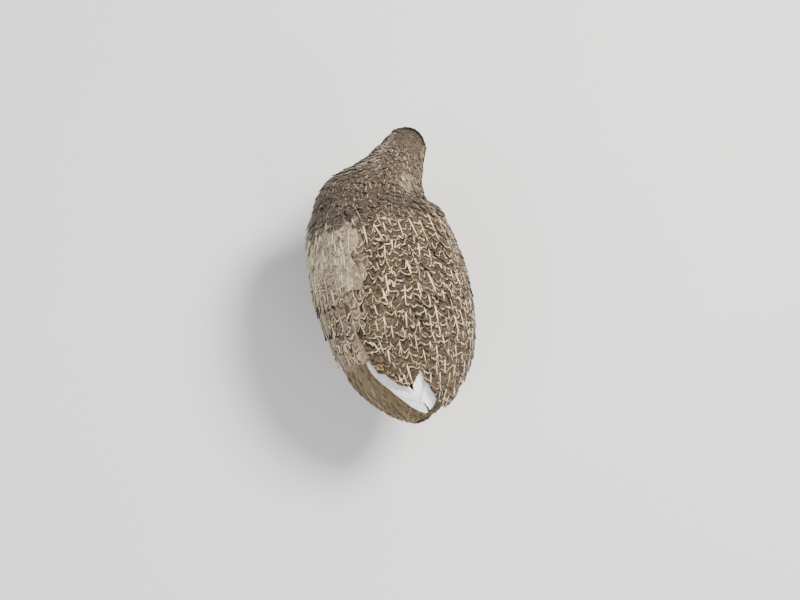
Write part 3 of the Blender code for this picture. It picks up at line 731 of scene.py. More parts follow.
def writeBakeMap(mesh, roots, across, along, oneVane, patch, unwrap):
    # a small patch for each vane, at its root's place on an unwrap of the hull's own shape
    low, high = np.array(unwrap, float)
    base = 0.02 + 0.96 * ((roots - low) / (high - low))
    columns = across.shape[1]
    upperU = 0.4 + 0.4 * across / np.abs(across).max()
    spotsU = [upperU.ravel()[f] for f in oneVane]
    spotsV = [np.repeat(along, columns)[f] for f in oneVane]
    # the strip below lies beside the upper side, and the caps above and below that strip
    spotsU[1] = np.where(spotsU[1] > 0.4, 1.0, 0.86)
    spotsU[2] = spotsU[3] = np.linspace(0.86, 1.0, columns)[None]
    teeth = 0.02 * (np.arange(columns)[None] % 2)
    spotsV[2], spotsV[3] = -0.02 - teeth, 1.04 + teeth
    uvs = []
    for spotU, spotV in zip(spotsU, spotsV):
        u = base[:, 1, None, None] + patch * spotU[None]
        v = base[:, 0, None, None] + patch * spotV[None]
        uvs.append(np.stack([u, v], -1).reshape(-1, 2))
    layer = mesh.uv_layers.new(name="OFBake")
    layer.data.foreach_set("uv", np.concatenate(uvs).astype(np.float32).ravel())


def layVanes(name, which, vane, roots, tips, halfWidths, lifts, look, unwrap, patch, fray, lean=0.0, cup=0.12,
             droop=0.0, liftPower=0.8, curve=1.0, barEvery=4.8):
    # lays one vane per root on the hull, bent to it, as one joined mesh of closed thin vanes
    # curve above 1 keeps a vane to its root's angle for longer before it swings to its tip
    across, along = vanes[vane]["across"], vanes[vane]["along"]
    count, rows, columns = len(roots), *across.shape
    roots, tips = np.asarray(roots, float), np.asarray(tips, float)
    halfWidths = np.broadcast_to(np.asarray(halfWidths, float), (count,))
    lifts = np.broadcast_to(np.asarray(lifts, float), (count, 2))
    lean = np.broadcast_to(np.asarray(lean, float), (count,))
    draw = dice.random(count)
    way = tips - roots
    place = roots[:, None, 0] + way[:, None, 0] * along
    angle = roots[:, None, 1] + way[:, None, 1] * along**curve
    _, perPlace, perDegree = slopesAt(which, place, angle)
    perDegree = np.maximum(perDegree, 0.04)
    runPlace = way[:, None, 0] * perPlace
    runAngle = way[:, None, 1] * perDegree * curve * np.maximum(along, 0.02) ** (curve - 1)
    run = np.hypot(runPlace, runAngle)
    # the edges are a little ragged, and points slide along the vane
    widest = np.abs(across).max()
    wide = halfWidths[:, None, None]
    ragged = 1 + fray * dice.standard_normal((count, rows, columns)) * (np.abs(across) > 0.6 * widest)
    off = wide * across * ragged
    slide = fray * 0.6 * dice.standard_normal((count, rows, columns)) * (along > 0.3)[:, None] * wide
    back, aside = (runPlace / run)[..., None], (runAngle / run)[..., None]
    stepPlace = (slide * back - off * aside) / perPlace[..., None]
    stepAngle = (off * back + slide * aside) / perDegree[..., None]
    share = across / np.maximum(np.abs(across).max(1, keepdims=True), 1e-6)
    lift = lifts[:, :1] + (lifts[:, 1:] - lifts[:, :1]) * along[None] ** liftPower
    lift = lift[..., None] + lean[:, None, None] * share
    lift = lift - cup * wide * (np.abs(across) / widest)[None] ** 2 - droop * (along[:, None] ** 4)
    top = pointAt(which, place[..., None] + stepPlace, angle[..., None] + stepAngle, lift)
    # which way is out, tried on the first vane
    normal = np.cross(top[0, 1, 0] - top[0, 0, 0], top[0, 0, -1] - top[0, 0, 0])
    outward = slopesAt(which, place[:1, :1], angle[:1, :1])[0][0, 0]
    oneVane = vaneFaces(rows, columns, np.dot(normal, outward) > 0)
    shift = (np.arange(count) * rows * columns)[:, None, None]
    piece = meshFrom(name, top, [(f[None] + shift).reshape(-1, f.shape[1]) for f in oneVane])
    writeLooks(piece.data, look, share, along, draw, halfWidths, run.mean(1), barEvery)
    writeBakeMap(piece.data, roots, across, along, oneVane, patch, unwrap)
    piece.data.polygons.foreach_set("use_smooth", np.ones(len(piece.data.polygons), bool))
    piece.data.set_sharp_from_angle(angle=math.radians(70))
    return piece


def alongHull(rule, place):
    # a number, or a start, what is added to it, and the two places between which it is added
    if not isinstance(rule, tuple):
        return np.full(np.shape(place), float(rule))
    first, more, low, high = rule
    return first + more * ease(place, low, high)


def scatter(places, angles, spacing, squeeze, which, jitter):
    # staggered rows of roots over a stretch of the hull
    roots = []
    place, odd = places[0], 0
    while place < places[1]:
        gap = float(alongHull(spacing, place))
        middle = np.array([(angles[0] + angles[1]) / 2])
        _, perPlace, perDegree = slopesAt(which, np.array([place]), middle)
        ring = slopesAt(which, np.full(24, place), np.linspace(angles[0], angles[1], 24))[2].mean()
        number = max(int(round((angles[1] - angles[0]) * ring / (gap * squeeze))), 1)
        spots = angles[0] + (np.arange(number) + 0.25 + 0.5 * odd) * (angles[1] - angles[0]) / number
        wander = jitter * gap
        row = np.stack([np.full(number, place), spots], 1)
        row[:, 0] += wander * dice.uniform(-1, 1, number)
        row[:, 1] += wander * dice.uniform(-1, 1, number) / ring
        roots.append(row)
        place += gap / float(perPlace[0])
        odd = 1 - odd
    return np.concatenate(roots)


def tipsOf(which, roots, lengths, veer):
    # tips that lie backwards from the roots, turned by veer degrees towards the belly
    turn = np.radians(veer * np.where(folded(roots[:, 1]) >= 0, 1.0, -1.0))

    def stepFrom(spots):
        _, perPlace, perDegree = slopesAt(which, spots[:, 0], spots[:, 1])
        down = np.sin(turn) * lengths / np.maximum(perDegree, 0.06)
        return np.stack([np.cos(turn) * lengths / perPlace, down], 1)

    # the slope changes on the way, so the step is taken again from half way along
    return roots + stepFrom(roots + stepFrom(roots) / 2)


# feather material: barCurve, barSway and barShift are shares of the gap between bars
featherLook = {
    "shaftHalfWidth": 0.31,
    "shaftColour": (0.84, 0.69, 0.48),
    "barCurve": 0.3,
    "barSway": 1.8,
    "barShift": 0.9,
    "spotFromTip": 2.3,
    "barbsPerMm": 15.0,
    "barbRelief": (0.35, 0.00025),
}


def featherShade(name):
    paint = Shade(name, Roughness=0.8, Sheen_Weight=0.06, Sheen_Roughness=0.6, Specular_IOR_Level=0.2)
    across, along, draw = paint.parts(paint.attribute("vane", "Vector"))
    barring, streak, fringe = paint.parts(paint.attribute("marks", "Vector"))
    halfWidth, length, barEvery = paint.parts(paint.attribute("size", "Vector"))
    ground, dark, pale = paint.attribute("ground"), paint.attribute("dark"), paint.attribute("pale")
    spots = paint.attribute("pale", "Alpha")
    edge = abs(across)
    out = edge * halfWidth
    fromTip = (1 - along) * length
    # places in mm on the vane, different on every one
    spot = paint.vector(across * halfWidth + draw * 37.0, fromTip + draw * 61.0, draw * 91.0)
    cloud = paint.noise(spot, 0.42, 2.0, 0.55)
    sway = paint.noise(paint.stretch(spot, (1.0, 0.6, 1.0)), 0.3, 1.0, 0.4)
    fine = paint.noise(spot, 1.7, 2.0, 0.6)
    # wavy bars: a thin pale line with a dark blotch on either side, the darker one towards the tip
    lobes = paint.maths("SINE", edge * 3.14) * featherLook["barCurve"]
    wave = fromTip / barEvery + lobes + (sway - 0.5) * featherLook["barSway"] + draw * featherLook["barShift"]
    band = paint.maths("FRACT", wave)
    far = abs(band - 0.5)
    line = paint.step(far, 0.115, 0.045) * (0.2 + paint.step(fine, 0.32, 0.6) * 0.8)
    blotch = paint.step(far, 0.49, 0.32) * (0.7 + paint.step(band, 0.52, 0.44) * 0.3)
    soft = paint.mix(0.35, ground, pale)
    colour = paint.mix(paint.step(cloud, 0.45, 0.75) * 0.18, ground, soft)
    colour = paint.mix(blotch * barring * paint.step(cloud, 0.18, 0.36), colour, dark)
    colour = paint.mix(line * barring * paint.step(edge, 1.05, 0.85) * 0.9, colour, pale)
    # a dark spot on either side of the shaft near the tip
    down = abs(fromTip - featherLook["spotFromTip"] - cloud)
    spotted = paint.step(abs(edge - 0.42), 0.36, 0.2) * paint.step(down, 2.0, 1.1)
    colour = paint.mix(spotted * spots, colour, dark)
    # soft fringe round the edge and tip
    rim = paint.step(edge, 0.7, 1.0)
    tip = paint.step(fromTip, 1.2, 0.2)
    colour = paint.mix((rim * 0.6 + tip * 0.5) * fringe * (0.4 + fine), colour, soft)
    # the pale shaft, drawn out to a point
    width = streak * featherLook["shaftHalfWidth"] * (1.25 - along * 0.75) * (0.65 + cloud * 0.7)
    shaft = paint.step(out, width + 0.12, width * 0.7)
    shaft = shaft * paint.step(along, 0.08, 0.35) * paint.step(fromTip, 0.1, 1.4)
    shine = paint.mix(0.55, pale, rgb(*featherLook["shaftColour"]))
    colour = paint.mix(shaft * paint.step(streak, 0.1, 0.5) * 0.95, colour, shine)
    # darker down at the root
    colour = paint.mix(paint.step(along, 0.3, 0.0) * (0.15 + barring * 0.45), colour, dark)
    # barbs that run out towards the tip
    slant = fromTip + out * 0.9
    barb = paint.maths("SINE", (slant + fine * 0.4) * featherLook["barbsPerMm"])
    strand = paint.noise(paint.vector(slant * 2.6, out * 0.5 + draw * 23.0, draw * 71.0), 1.0, 2.0, 0.6)
    tone = 0.66 + barb * 0.06 + fine * 0.2 + strand * 0.48
    shaded = paint.add("ShaderNodeVectorMath", {"operation": "SCALE"}, {0: colour, "Scale": tone})
    paint.feed("Base Color", shaded)
    paint.bump(barb * 0.35 + paint.step(out, 0.3, 0.0) * 0.9, *featherLook["barbRelief"])
    return paint.material


featherMaterial = featherShade("feathers")


def asCoat(piece):
    piece.data.materials.append(featherMaterial)
    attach(piece, "root")
    print("quail:", piece.name, sum(len(p.vertices) - 2 for p in piece.data.polygons), "triangles")


# skin: one body under the feathers
skinLook = {
    "depth": 2.3,
    "headDepth": 0.7,
    "wingRaise": 3.2,
    "ends": (-90.5, 77.6),
    "hullEnds": (-89.8, 77.5),
    "poleShare": 0.012,
    "voxel": 0.0011,
}


def skinLift(place, angle):
    around = np.abs(folded(angle))
    depth = skinLook["depth"] + (skinLook["headDepth"] - skinLook["depth"]) * ease(-place, 50, 68)
    depth = depth * (1 - 0.5 * ease(place, 68, 78))
    wing = ease(place, -40, -26) * ease(-place, -58, -40) * ease(around, 20, 36) * ease(-around, -108, -88)
    return -depth + wing * skinLook["wingRaise"]


def makeSkin():
    clearSelection()
    bpy.ops.mesh.primitive_uv_sphere_add(segments=96, ring_count=120, radius=1.0)
    body = bpy.context.object
    body.name = "skin"
    spots = np.array([v.co[:] for v in body.data.vertices])
    share = np.arccos(np.clip(spots[:, 2], -1, 1)) / np.pi
    angle = np.degrees(np.arctan2(spots[:, 0], spots[:, 1]))
    first, last = skinLook["ends"]
    place = first + share * (last - first)
    onHull = np.clip(place, *skinLook["hullEnds"])
    points = pointAt("body", onHull, angle, skinLift(place, angle))
    centre = sectionAt("body", onHull)[:, :3]
    # the poles are drawn in and closed
    pole = skinLook["poleShare"]
    points = centre + (points - centre) * np.minimum(ease(share, 0, pole), ease(1 - share, 0, pole))[:, None]
    body.data.vertices.foreach_set("co", toScene(points).astype(np.float32).ravel())
    body.data.update()
    parts = [body]
    wide, narrow = [(radius - thighLook["skinDepth"]) * mm for radius in thighLook["radii"]]
    for word, side in sides.items():
        clearSelection()
        bpy.ops.mesh.primitive_cone_add(vertices=32, radius1=narrow, radius2=wide,
                                        depth=thighLook["length"] * mm,
                                        location=Vector(thighLine(word)[0]) * mm)
        limb = bpy.context.object
        lean, splay = math.radians(thighLook["pitch"]), math.radians(-thighLook["splay"] * side)
        limb.rotation_euler = (lean, splay, 0)
        parts.append(settle(limb))
    pick(*parts)
    bpy.ops.object.join()
    return melt(facesOut(bpy.context.object), skinLook["voxel"], 8)


def paintSkin(skin):
    # carries the coat's own ground colours, found by the nearest spot of the hull
    gridPlace, gridAngle = np.meshgrid(np.arange(-90, 88, 1.5), np.arange(-180, 180, 4.0), indexing="ij")
    spots = toScene(surfaceAt("body", gridPlace.ravel(), gridAngle.ravel()))
    tree = KDTree(len(spots))
    for k, spot in enumerate(spots):
        tree.insert(spot, k)
    tree.balance()
    near = np.array([tree.find(v.co)[1] for v in skin.data.vertices])
    look = markingsAt(gridPlace.ravel()[near], gridAngle.ravel()[near])
    for key, start in colourColumns.items():
        values = np.concatenate([look[:, start:start + 3], np.ones((len(near), 1))], 1)
        writeAttribute(skin.data, key, "FLOAT_COLOR", values)
    paint = Shade("skinUnderDown", Roughness=0.85, Sheen_Weight=0.2, Specular_IOR_Level=0.2)
    where = paint.place()
    down = paint.noise(where, 900.0, 3.0, 0.65)
    patchy = paint.noise(where, 210.0, 2.0, 0.5)
    colour = paint.mix(patchy * 0.7, paint.attribute("ground"), paint.attribute("dark"))
    colour = paint.mix(paint.step(down, 0.55, 0.75) * 0.4, colour, paint.attribute("pale"))
    paint.feed("Base Color", colour)
    paint.bump(down, 0.5, 0.0004)
    skin.data.materials.clear()
    skin.data.materials.append(paint.material)


skin = makeSkin()
paintSkin(skin)
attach(skin, "root")
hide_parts("torso", "neck", "head", "tail", "thigh_left", "thigh_right", "wing_left", "wing_right")
print("quail: skin made")


# body coats
tractLook = {
    "lengthSpread": 0.07,
    "lastTip": 91,
    "lookBetween": (0.35, 0.65),
    "lookWander": (1.3, 2.5),
}


def layTract(name, places, angles, spacing, length, halfWidth, lifts, vane, unwrap, which="body", squeeze=1.0,
             jitter=0.3, wander=7.0, veer=None, skip=None, keepTips=None, extraLift=None, liftNoise=0.12,
             lean=0.12, cup=0.12, fray=0.12, patch=0.003, barEvery=4.8, kind=None, kindShare=1.0):
    # a stretch of small feathers; spacing, length and half width are rules for alongHull, in mm
    roots = scatter(places, angles, spacing, squeeze, which, jitter)
    if skip:
        roots = roots[~skip(roots[:, 0], folded(roots[:, 1]))]
    lengths = alongHull(length, roots[:, 0])
    lengths = lengths * np.exp(tractLook["lengthSpread"] * dice.standard_normal(len(roots)))
    widths = alongHull(halfWidth, roots[:, 0])
    turn = wander * dice.standard_normal(len(roots))
    if veer:
        turn += veer(roots[:, 0], roots[:, 1])
    tips = tipsOf(which, roots, lengths, turn)
    tips[:, 0] = np.clip(tips[:, 0], -tractLook["lastTip"], tractLook["lastTip"])
    if keepTips:
        keep = keepTips(tips[:, 0], folded(tips[:, 1]))
        roots, tips, widths = roots[keep], tips[keep], widths[keep]
    count = len(roots)
    lift = np.tile(np.array(lifts, float), (count, 1))
    lift[:, 1] += liftNoise * dice.standard_normal(count)
    if extraLift:
        lift[:, 0] += extraLift(*roots.T)
        lift[:, 1] += extraLift(*tips.T)
    # each feather takes the markings of a spot near its middle
    fromRoot, fromTip = tractLook["lookBetween"]
    middle = roots * fromRoot + tips * fromTip
    place, angle = [middle[:, k] + spread * dice.standard_normal(count)
                    for k, spread in enumerate(tractLook["lookWander"])]
    look = markingsAt(place, angle)
    if kind:
        look = look * (1 - kindShare) + plumageRow(kind) * kindShare
    leans = lean * dice.choice((-1, 1), count)
    return layVanes(name, which, vane, roots, tips, widths, lift, look, lean=leans, cup=cup, fray=fray,
                    patch=patch, unwrap=unwrap, barEvery=barEvery)


# How thick the folded wings lie over the trunk in mm, the places where they set in, their upper edge in
# degrees and how far it rises behind, where the two meet over the back, and their lower edge
wingOver = {"thick": 3.0, "front": (-42, -26), "upper": (16, 44), "rises": (30, 34), "behind": (-5, 40),
            "lower": (-112, -92)}


def wingCover(place, angle):
    around = np.abs(folded(angle))
    behind = ease(place, *wingOver["behind"])
    inner = ease(around, *[edge - rise * behind for edge, rise in zip(wingOver["upper"], wingOver["rises"])])
    return wingOver["thick"] * ease(place, *wingOver["front"]) * inner * ease(-around, *wingOver["lower"])


# how much closer the face's feathers lie towards the bill, in mm, and between which places
billCloser = (-0.16, 76, 85)


def nearBill(place, angle):
    closer, low, high = billCloser
    return closer * ease(-place, low, high)


# where the eyes lie on the hull
eyeSpots = {"left": (-79.6, 75.0), "right": (-79.6, -75.0)}
# bare ring round each eye in mm, how far it looks forward and up, and its front as shares of its radius
eyeLook = {
    "bare": 3.9,
    "forward": 0.26,
    "up": 0.18,
    "front": 0.62,
    "proud": 0.06,
}


def nearEye(place, angle):
    close = np.zeros(len(place), bool)
    for eyePlace, eyeAngle in eyeSpots.values():
        _, perPlace, perDegree = slopesAt("body", np.full(len(place), eyePlace),
                                          np.full(len(place), eyeAngle))
        far = np.hypot((place - eyePlace) * perPlace, (angle - eyeAngle) * perDegree)
        close |= far < eyeLook["bare"]
    return close


coats = {
    "coatHead": {
        "places": (-89.2, -63.0), "angles": (-180, 180), "spacing": (0.7, 0.65, -88, -64),
        "length": (1.9, 3.4, -89, -64), "halfWidth": (0.52, 0.65, -89, -64), "lifts": (-0.45, 0.25),
        "vane": "tiny", "unwrap": ((-92, -180), (-58, 180)), "skip": nearEye, "extraLift": nearBill,
        "wander": 6, "barEvery": 2.4,
    },
    "coatNeck": {
        "places": (-65.5, -46), "angles": (-180, 180), "spacing": (1.5, 0.9, -65, -46),
        "length": (5.2, 4.5, -65, -46), "halfWidth": (1.2, 0.8, -65, -46), "lifts": (-1.1, 0.3),
        "vane": "small", "unwrap": ((-70, -180), (-40, 180)), "wander": 11, "liftNoise": 0.15,
        "barEvery": 3.2,
    },
    "coatMantle": {
        "places": (-47.5, -20), "angles": (-105, 105), "spacing": (2.5, 1.2, -46, -20),
        "length": (9.5, 5.0, -46, -20), "halfWidth": (2.1, 1.4, -46, -20), "lifts": (-1.6, 0.35),
        "vane": "soft", "unwrap": ((-50, -108), (5, 108)), "extraLift": wingCover, "wander": 10,
        "liftNoise": 0.18, "barEvery": 4.0,
    },
    "coatBreast": {
        "places": (-47.5, -10), "angles": (95, 265), "spacing": (2.3, 1.0, -46, -10),
        "length": (9.0, 4.0, -46, -10), "halfWidth": (1.9, 0.9, -46, -10), "lifts": (-1.6, 0.35),
        "vane": "soft", "unwrap": ((-50, 90), (5, 270)), "wander": 9,
    },
    "coatBelly": {
        "places": (-12, 58), "angles": (88, 272), "spacing": 3.5, "length": (14.0, -2.0, 40, 56),
        "halfWidth": 2.9, "lifts": (-1.8, 0.4), "vane": "soft", "unwrap": ((-20, 84), (80, 276)),
        "wander": 10,
    },
    "coatRump": {
        "places": (30, 76.5), "angles": (-48, 48), "spacing": (3.9, -1.9, 50, 74),
        "length": (13.0, -8.5, 50, 75), "halfWidth": (3.2, -1.2, 50, 74), "lifts": (-1.5, 0.2),
        "vane": "soft", "unwrap": ((26, -52), (90, 52)), "wander": 8,
    },
    "coatVent": {
        "places": (38, 76.5), "angles": (42, 318), "spacing": (2.2, -0.8, 50, 70),
        "length": (13.0, -8.5, 48, 74), "halfWidth": (1.4, -0.3, 50, 70), "lifts": (-1.3, 0.55),
        "vane": "plume", "unwrap": ((34, 38), (92, 322)), "wander": 16, "liftNoise": 0.28, "cup": 0.05,
        "fray": 0.22, "kind": "vent", "kindShare": 0.85,
    },
}
for name, coat in coats.items():
    asCoat(layTract(name, **coat))


def lineUp(first, last, count):
    # evenly spaced places and angles
    t = np.linspace(0, 1, count)[:, None]
    return np.array(first)[None] * (1 - t) + np.array(last)[None] * t


# Each tier of the tail: vane, count, first and last root, first and last tip, half widths, lifts
tailTiers = {
    "rectrices": ("quill", 11, (58, -62), (58, 62), (74, -58), (74, 58), (3.2, 3.2), (-1.8, -0.2)),
    "tailCoverts": ("soft", 14, (54, -72), (54, 72), (69, -70), (69, 70), (3.3, 3.3), (-1.6, -0.4)),
}
# in mm: how far tips stray, how much further back the middle ones reach, and the rise towards the middle
tailLook = {"stray": 0.8, "bow": 1.5, "stack": 0.07}
tailVanes = {"cup": 0.14, "fray": 0.03, "patch": 0.012, "unwrap": ((40, -90), (95, 90)), "barEvery": 4.2}


def makeTail():
    for tier, (vane, count, rootA, rootB, tipA, tipB, widths, lifts) in tailTiers.items():
        roots, tips = lineUp(rootA, rootB, count), lineUp(tipA, tipB, count)
        stray = dice.uniform(-tailLook["stray"], tailLook["stray"], count)
        tips[:, 0] += stray + tailLook["bow"] * np.cos(np.radians(tips[:, 1]))
        lift = np.tile(np.array(lifts, float), (count, 1))
        lift += (tailLook["stack"] * (count / 2 - np.abs(np.arange(count) - count / 2)))[:, None]
        asCoat(layVanes(tier, "body", vane, roots, tips, np.linspace(*widths, count), lift,
                        plumageRow("rump", count), **tailVanes))


makeTail()
thighCoat = {
    "places": (1.0, 21), "angles": (-180, 180), "spacing": (1.7, -0.8, 4, 20),
    "length": (6.5, -3.7, 4, 20), "halfWidth": (1.5, -0.8, 4, 20), "lifts": (-0.5, 0.35), "vane": "small",
    "unwrap": ((-4, -184), (30, 184)), "wander": 9, "cup": 0.08, "barEvery": 3.0, "kind": "thigh",
}
for word in ("Left", "Right"):
    asCoat(layTract("coatThigh" + word, which="thigh" + word, **thighCoat))
print("quail: body coats and tail laid")


# wings
# Each tier: vane, count, first and last root, first and last tip, half widths, lifts at root and tip, rise
# from one vane to the next, lean, curve, plumage on the left and on the right
wingTiers = {
    "primaries": ("quill", 10, (34, 41), (37, 43), (76, -3), (64, 18.5), (3.8, 4.4), (0.9, 1.0), 0.10, 0.3,
                  3.0, "white", "white"),
    "secondaries": ("quill", 11, (12, 98), (24, 40), (41, 94), (46, 42), (4.0, 4.6), (1.0, 2.2), 0.02, 0.4,
                    1.0, "greater", "side"),
    "greaterCoverts": ("soft", 11, (-2, 100), (8, 34), (26, 98), (30, 36), (4.4, 5.0), (1.6, 3.0), 0.0, 0.5,
                       1.0, "greater", "side"),
    "medianCoverts": ("soft", 11, (-14, 99), (-6, 34), (13, 98), (16, 36), (4.4, 4.8), (1.8, 3.3), 0.0, 0.4,
                      1.0, "greater", "side"),
}
# the right wing's long feathers lie beside those of the left, and lower
rightPrimaries = ("quill", 10, (30, 30), (38, 6), (74.5, 10), (67, -8), (4.6, 4.4), (0.4, 0.5), 0.10, 0.3,
                  1.6, "white", "white")
# how far tips stray, in mm and degrees, and mm from bar to bar on each wing
wingLook = {"strayPlace": 0.6, "strayAngle": 1, "barEvery": {"Left": 7.0, "Right": 5.2}}
wingVanes = {"cup": 0.10, "droop": 0.3, "fray": 0.02, "patch": 0.014, "unwrap": ((-20, -110), (60, 110)),
             "liftPower": 0.6}
lesserCoat = {
    "places": (-38, 0), "spacing": 3.6, "length": (8.0, 3.5, -38, -10), "halfWidth": (2.9, 0.9, -38, -10),
    "lifts": (-0.4, 1.0), "vane": "small", "unwrap": ((-42, -110), (20, 110)), "which": "bed",
    "extraLift": wingCover, "wander": 6,
}
lesserAngles = {"Left": (40, 106), "Right": (-106, -40)}


def makeWing(word, side):
    for tier, row in wingTiers.items():
        if tier == "primaries" and side < 0:
            row = rightPrimaries
        vane, count, rootA, rootB, tipA, tipB, widths, lifts, rise, lean, curve, *kinds = row
        roots, tips = lineUp(rootA, rootB, count), lineUp(tipA, tipB, count)
        tips[:, 0] += dice.uniform(-wingLook["strayPlace"], wingLook["strayPlace"], count)
        tips[:, 1] += dice.uniform(-wingLook["strayAngle"], wingLook["strayAngle"], count)
        roots[:, 1] *= side
        tips[:, 1] *= side
        lift = np.tile(np.array(lifts, float), (count, 1))
        lift[:, 1] += rise * np.arange(count)
        asCoat(layVanes(tier + word, "bed", vane, roots, tips, np.linspace(*widths, count), lift,
                        plumageRow(kinds[side < 0], count), lean=-lean * side, curve=curve,
                        barEvery=wingLook["barEvery"][word], **wingVanes))
    asCoat(layTract("lesserCoverts" + word, angles=lesserAngles[word], **lesserCoat))


for word, side in sides.items():
    makeWing(word.capitalize(), side)
print("quail: wings laid")


# Rear edge of the dark feathers of back and shoulders that lie over both wings: how far back their tips reach
# at each angle, how far down the left side they reach at each place, how far single ones lie past that, and
# the tips of the long feathers at the edge
backEdge = {
    "angles": (-90, -76, -55, -40, -30, -23, -15, -8, -2, 4, 8, 14, 20, 27, 33, 40, 46),
    "tips": (57, 61, 68, 72, 71, 68, 65, 61, 51, 48, 53, 57, 58, 57, 53, 45, 39),
    "places": (-30, -16, 0, 10, 20, 30, 38, 44, 50, 58, 62),
    "leftSide": (62, 38, 33, 31, 29, 30, 31, 31, 29, 24, 18),
    "spare": 2.0,
    "straggle": 3.0,
    "left": ((40, 37), (45, 35), (49.5, 32), (53.5, 29), (57, 25.5), (59.5, 21.5), (60.5, 17), (59.5, 12),
             (57, 8), (53, 5), (48, 3)),
    "right": ((46, -2), (50, -2.5), (54, -3), (58, -3.5), (62, -6), (66, -11.5), (69.5, -18), (72.5, -26),
              (73.5, -34), (72.5, -42), (70.5, -50), (67, -58), (64, -66), (61, -74), (58, -82)),
    # mm of the long feathers, how far they fan out, and their lifts over the wings
    "length": 20.0,
    "halfWidth": 3.9,
    "fan": 0.25,
    "lifts": (-1.0, 0.45),
    # the others draw together towards the rear: degrees of turn, where it sets in, and where it is full
    "gather": -6.0,
    "gatherPlaces": (0, 40),
    "gatherAngle": 20,
}
rimVanes = {"lean": 0.1, "droop": 0.2, "fray": 0.04, "patch": 0.014, "unwrap": ((20, -110), (90, 110))}


def inBack(place, angle):
    reach = np.interp(angle, backEdge["angles"], backEdge["tips"])
    left = np.interp(place, backEdge["places"], backEdge["leftSide"])
    left = left + backEdge["spare"] + backEdge["straggle"] * dice.standard_normal(len(place))
    return (place < reach) & (angle < left)


def backVeer(place, angle):
    share = np.clip(angle / backEdge["gatherAngle"], -1, 1)
    return backEdge["gather"] * ease(place, *backEdge["gatherPlaces"]) * share


def makeRim(side):
    tips = np.array(backEdge[side], float)
    roots = tips - np.array((backEdge["length"], 0.0))
    roots[:, 1] += backEdge["fan"] * tips[:, 1]
    lift = np.stack([wingCover(*roots.T), wingCover(*tips.T)], 1) + backEdge["lifts"]
    return layVanes("tertials" + side.capitalize(), "bed", "tertial", roots, tips, backEdge["halfWidth"],
                    lift, plumageRow("back", len(tips)), **rimVanes)


for word in sides:
    asCoat(makeRim(word))
backCoat = {
    "places": (-26, 62), "angles": (-84, 60), "spacing": 4.8, "length": (15.0, -2.5, 30, 60),
    "halfWidth": (4.6, -0.5, 30, 60), "lifts": (-0.6, 1.0), "vane": "soft", "unwrap": ((-30, -88), (72, 64)),
    "which": "bed", "squeeze": 1.2, "jitter": 0.25, "wander": 8, "veer": backVeer, "keepTips": inBack,
    "extraLift": wingCover, "liftNoise": 0.2, "lean": 0.2, "fray": 0.08, "patch": 0.012,
}
asCoat(layTract("coatBack", **backCoat))
print("quail: back laid")


# eyes, lids and bill
def finishAs(piece, material, slotName, *nodes):
    piece.data.materials.clear()
    piece.data.materials.append(material)
    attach(piece, "root")
    if nodes:
        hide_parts(*nodes)


def eyeShade():
    paint = Shade("darkEye", Roughness=0.12, Specular_IOR_Level=0.25, Coat_Weight=0.25, Coat_Roughness=0.03)
    out = paint.attribute("ring", "Fac")
    fleck = paint.noise(paint.place(), 2600.0, 3.0, 0.6)
    iris = paint.mix(fleck, rgb(0.014, 0.0065, 0.004), rgb(0.045, 0.019, 0.009))
    colour = paint.mix(paint.step(out, 0.46, 0.40), iris, rgb(0.004, 0.003, 0.003))
    colour = paint.mix(paint.step(out, 0.80, 0.92), colour, rgb(0.02, 0.012, 0.008))
    paint.feed("Base Color", colour)
    return paint.material


def makeEye(word):
    low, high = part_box("eye_" + word)
    centre, radius = (low + high) / 2, (high.x - low.x) / 2
    row = sectionAt("body", np.array([eyeSpots[word][0]]))[0]
    left, up = Vector(row[3:6]), Vector(row[6:9])
    forward = up.cross(left) * -1
    look = (left * sides[word] + forward * eyeLook["forward"] + up * eyeLook["up"]).normalized()
    facing = look.to_track_quat("Z", "Y").to_euler()
    clearSelection()
    bpy.ops.mesh.primitive_uv_sphere_add(segments=48, ring_count=32, radius=radius, location=centre,
                                         rotation=facing)
    eye = settle(bpy.context.object)
    eye.name = "eye" + word.capitalize()
    # the clear front stands a little proud
    rings = np.zeros(len(eye.data.vertices), np.float32)
    for k, v in enumerate(eye.data.vertices):
        out = v.co - centre
        sine = (out - look * out.dot(look)).length / radius
        ahead = out.dot(look) > 0
        rings[k] = sine if ahead else 1.0
        if ahead and sine < eyeLook["front"]:
            v.co += look * radius * eyeLook["proud"] * (1 - (sine / eyeLook["front"]) ** 2)
    made = eye.data.attributes.new("ring", "FLOAT", "POINT")
    made.data.foreach_set("value", rings)
    finishAs(smooth(eye), eyeMaterial, "eye", "eye_" + word)
    return centre, radius, look, up, facing


def lidShade():
    paint = Shade("lidSkin", Roughness=0.6, Specular_IOR_Level=0.35)
    where = paint.place()
    grain = paint.noise(where, 1500.0, 3.0, 0.6)
    paint.feed("Base Color", paint.mix(grain, rgb(0.022, 0.017, 0.013), rgb(0.075, 0.056, 0.042)))
    paint.bump(grain, 0.5, 0.0002)
    return paint.material


# The lids as shares of the eye's radius: their ring, how far ahead it lies, how it is drawn into corners and
# wrapped back; the swell is in m
lidLook = {
    "major": 0.95,
    "minor": 0.23,
    "ahead": 0.46,
    "flatter": 0.07,
    "corner": (0.04, 0.10, 0.6),
    "wrap": 0.16,
    "swell": 0.00005,
}


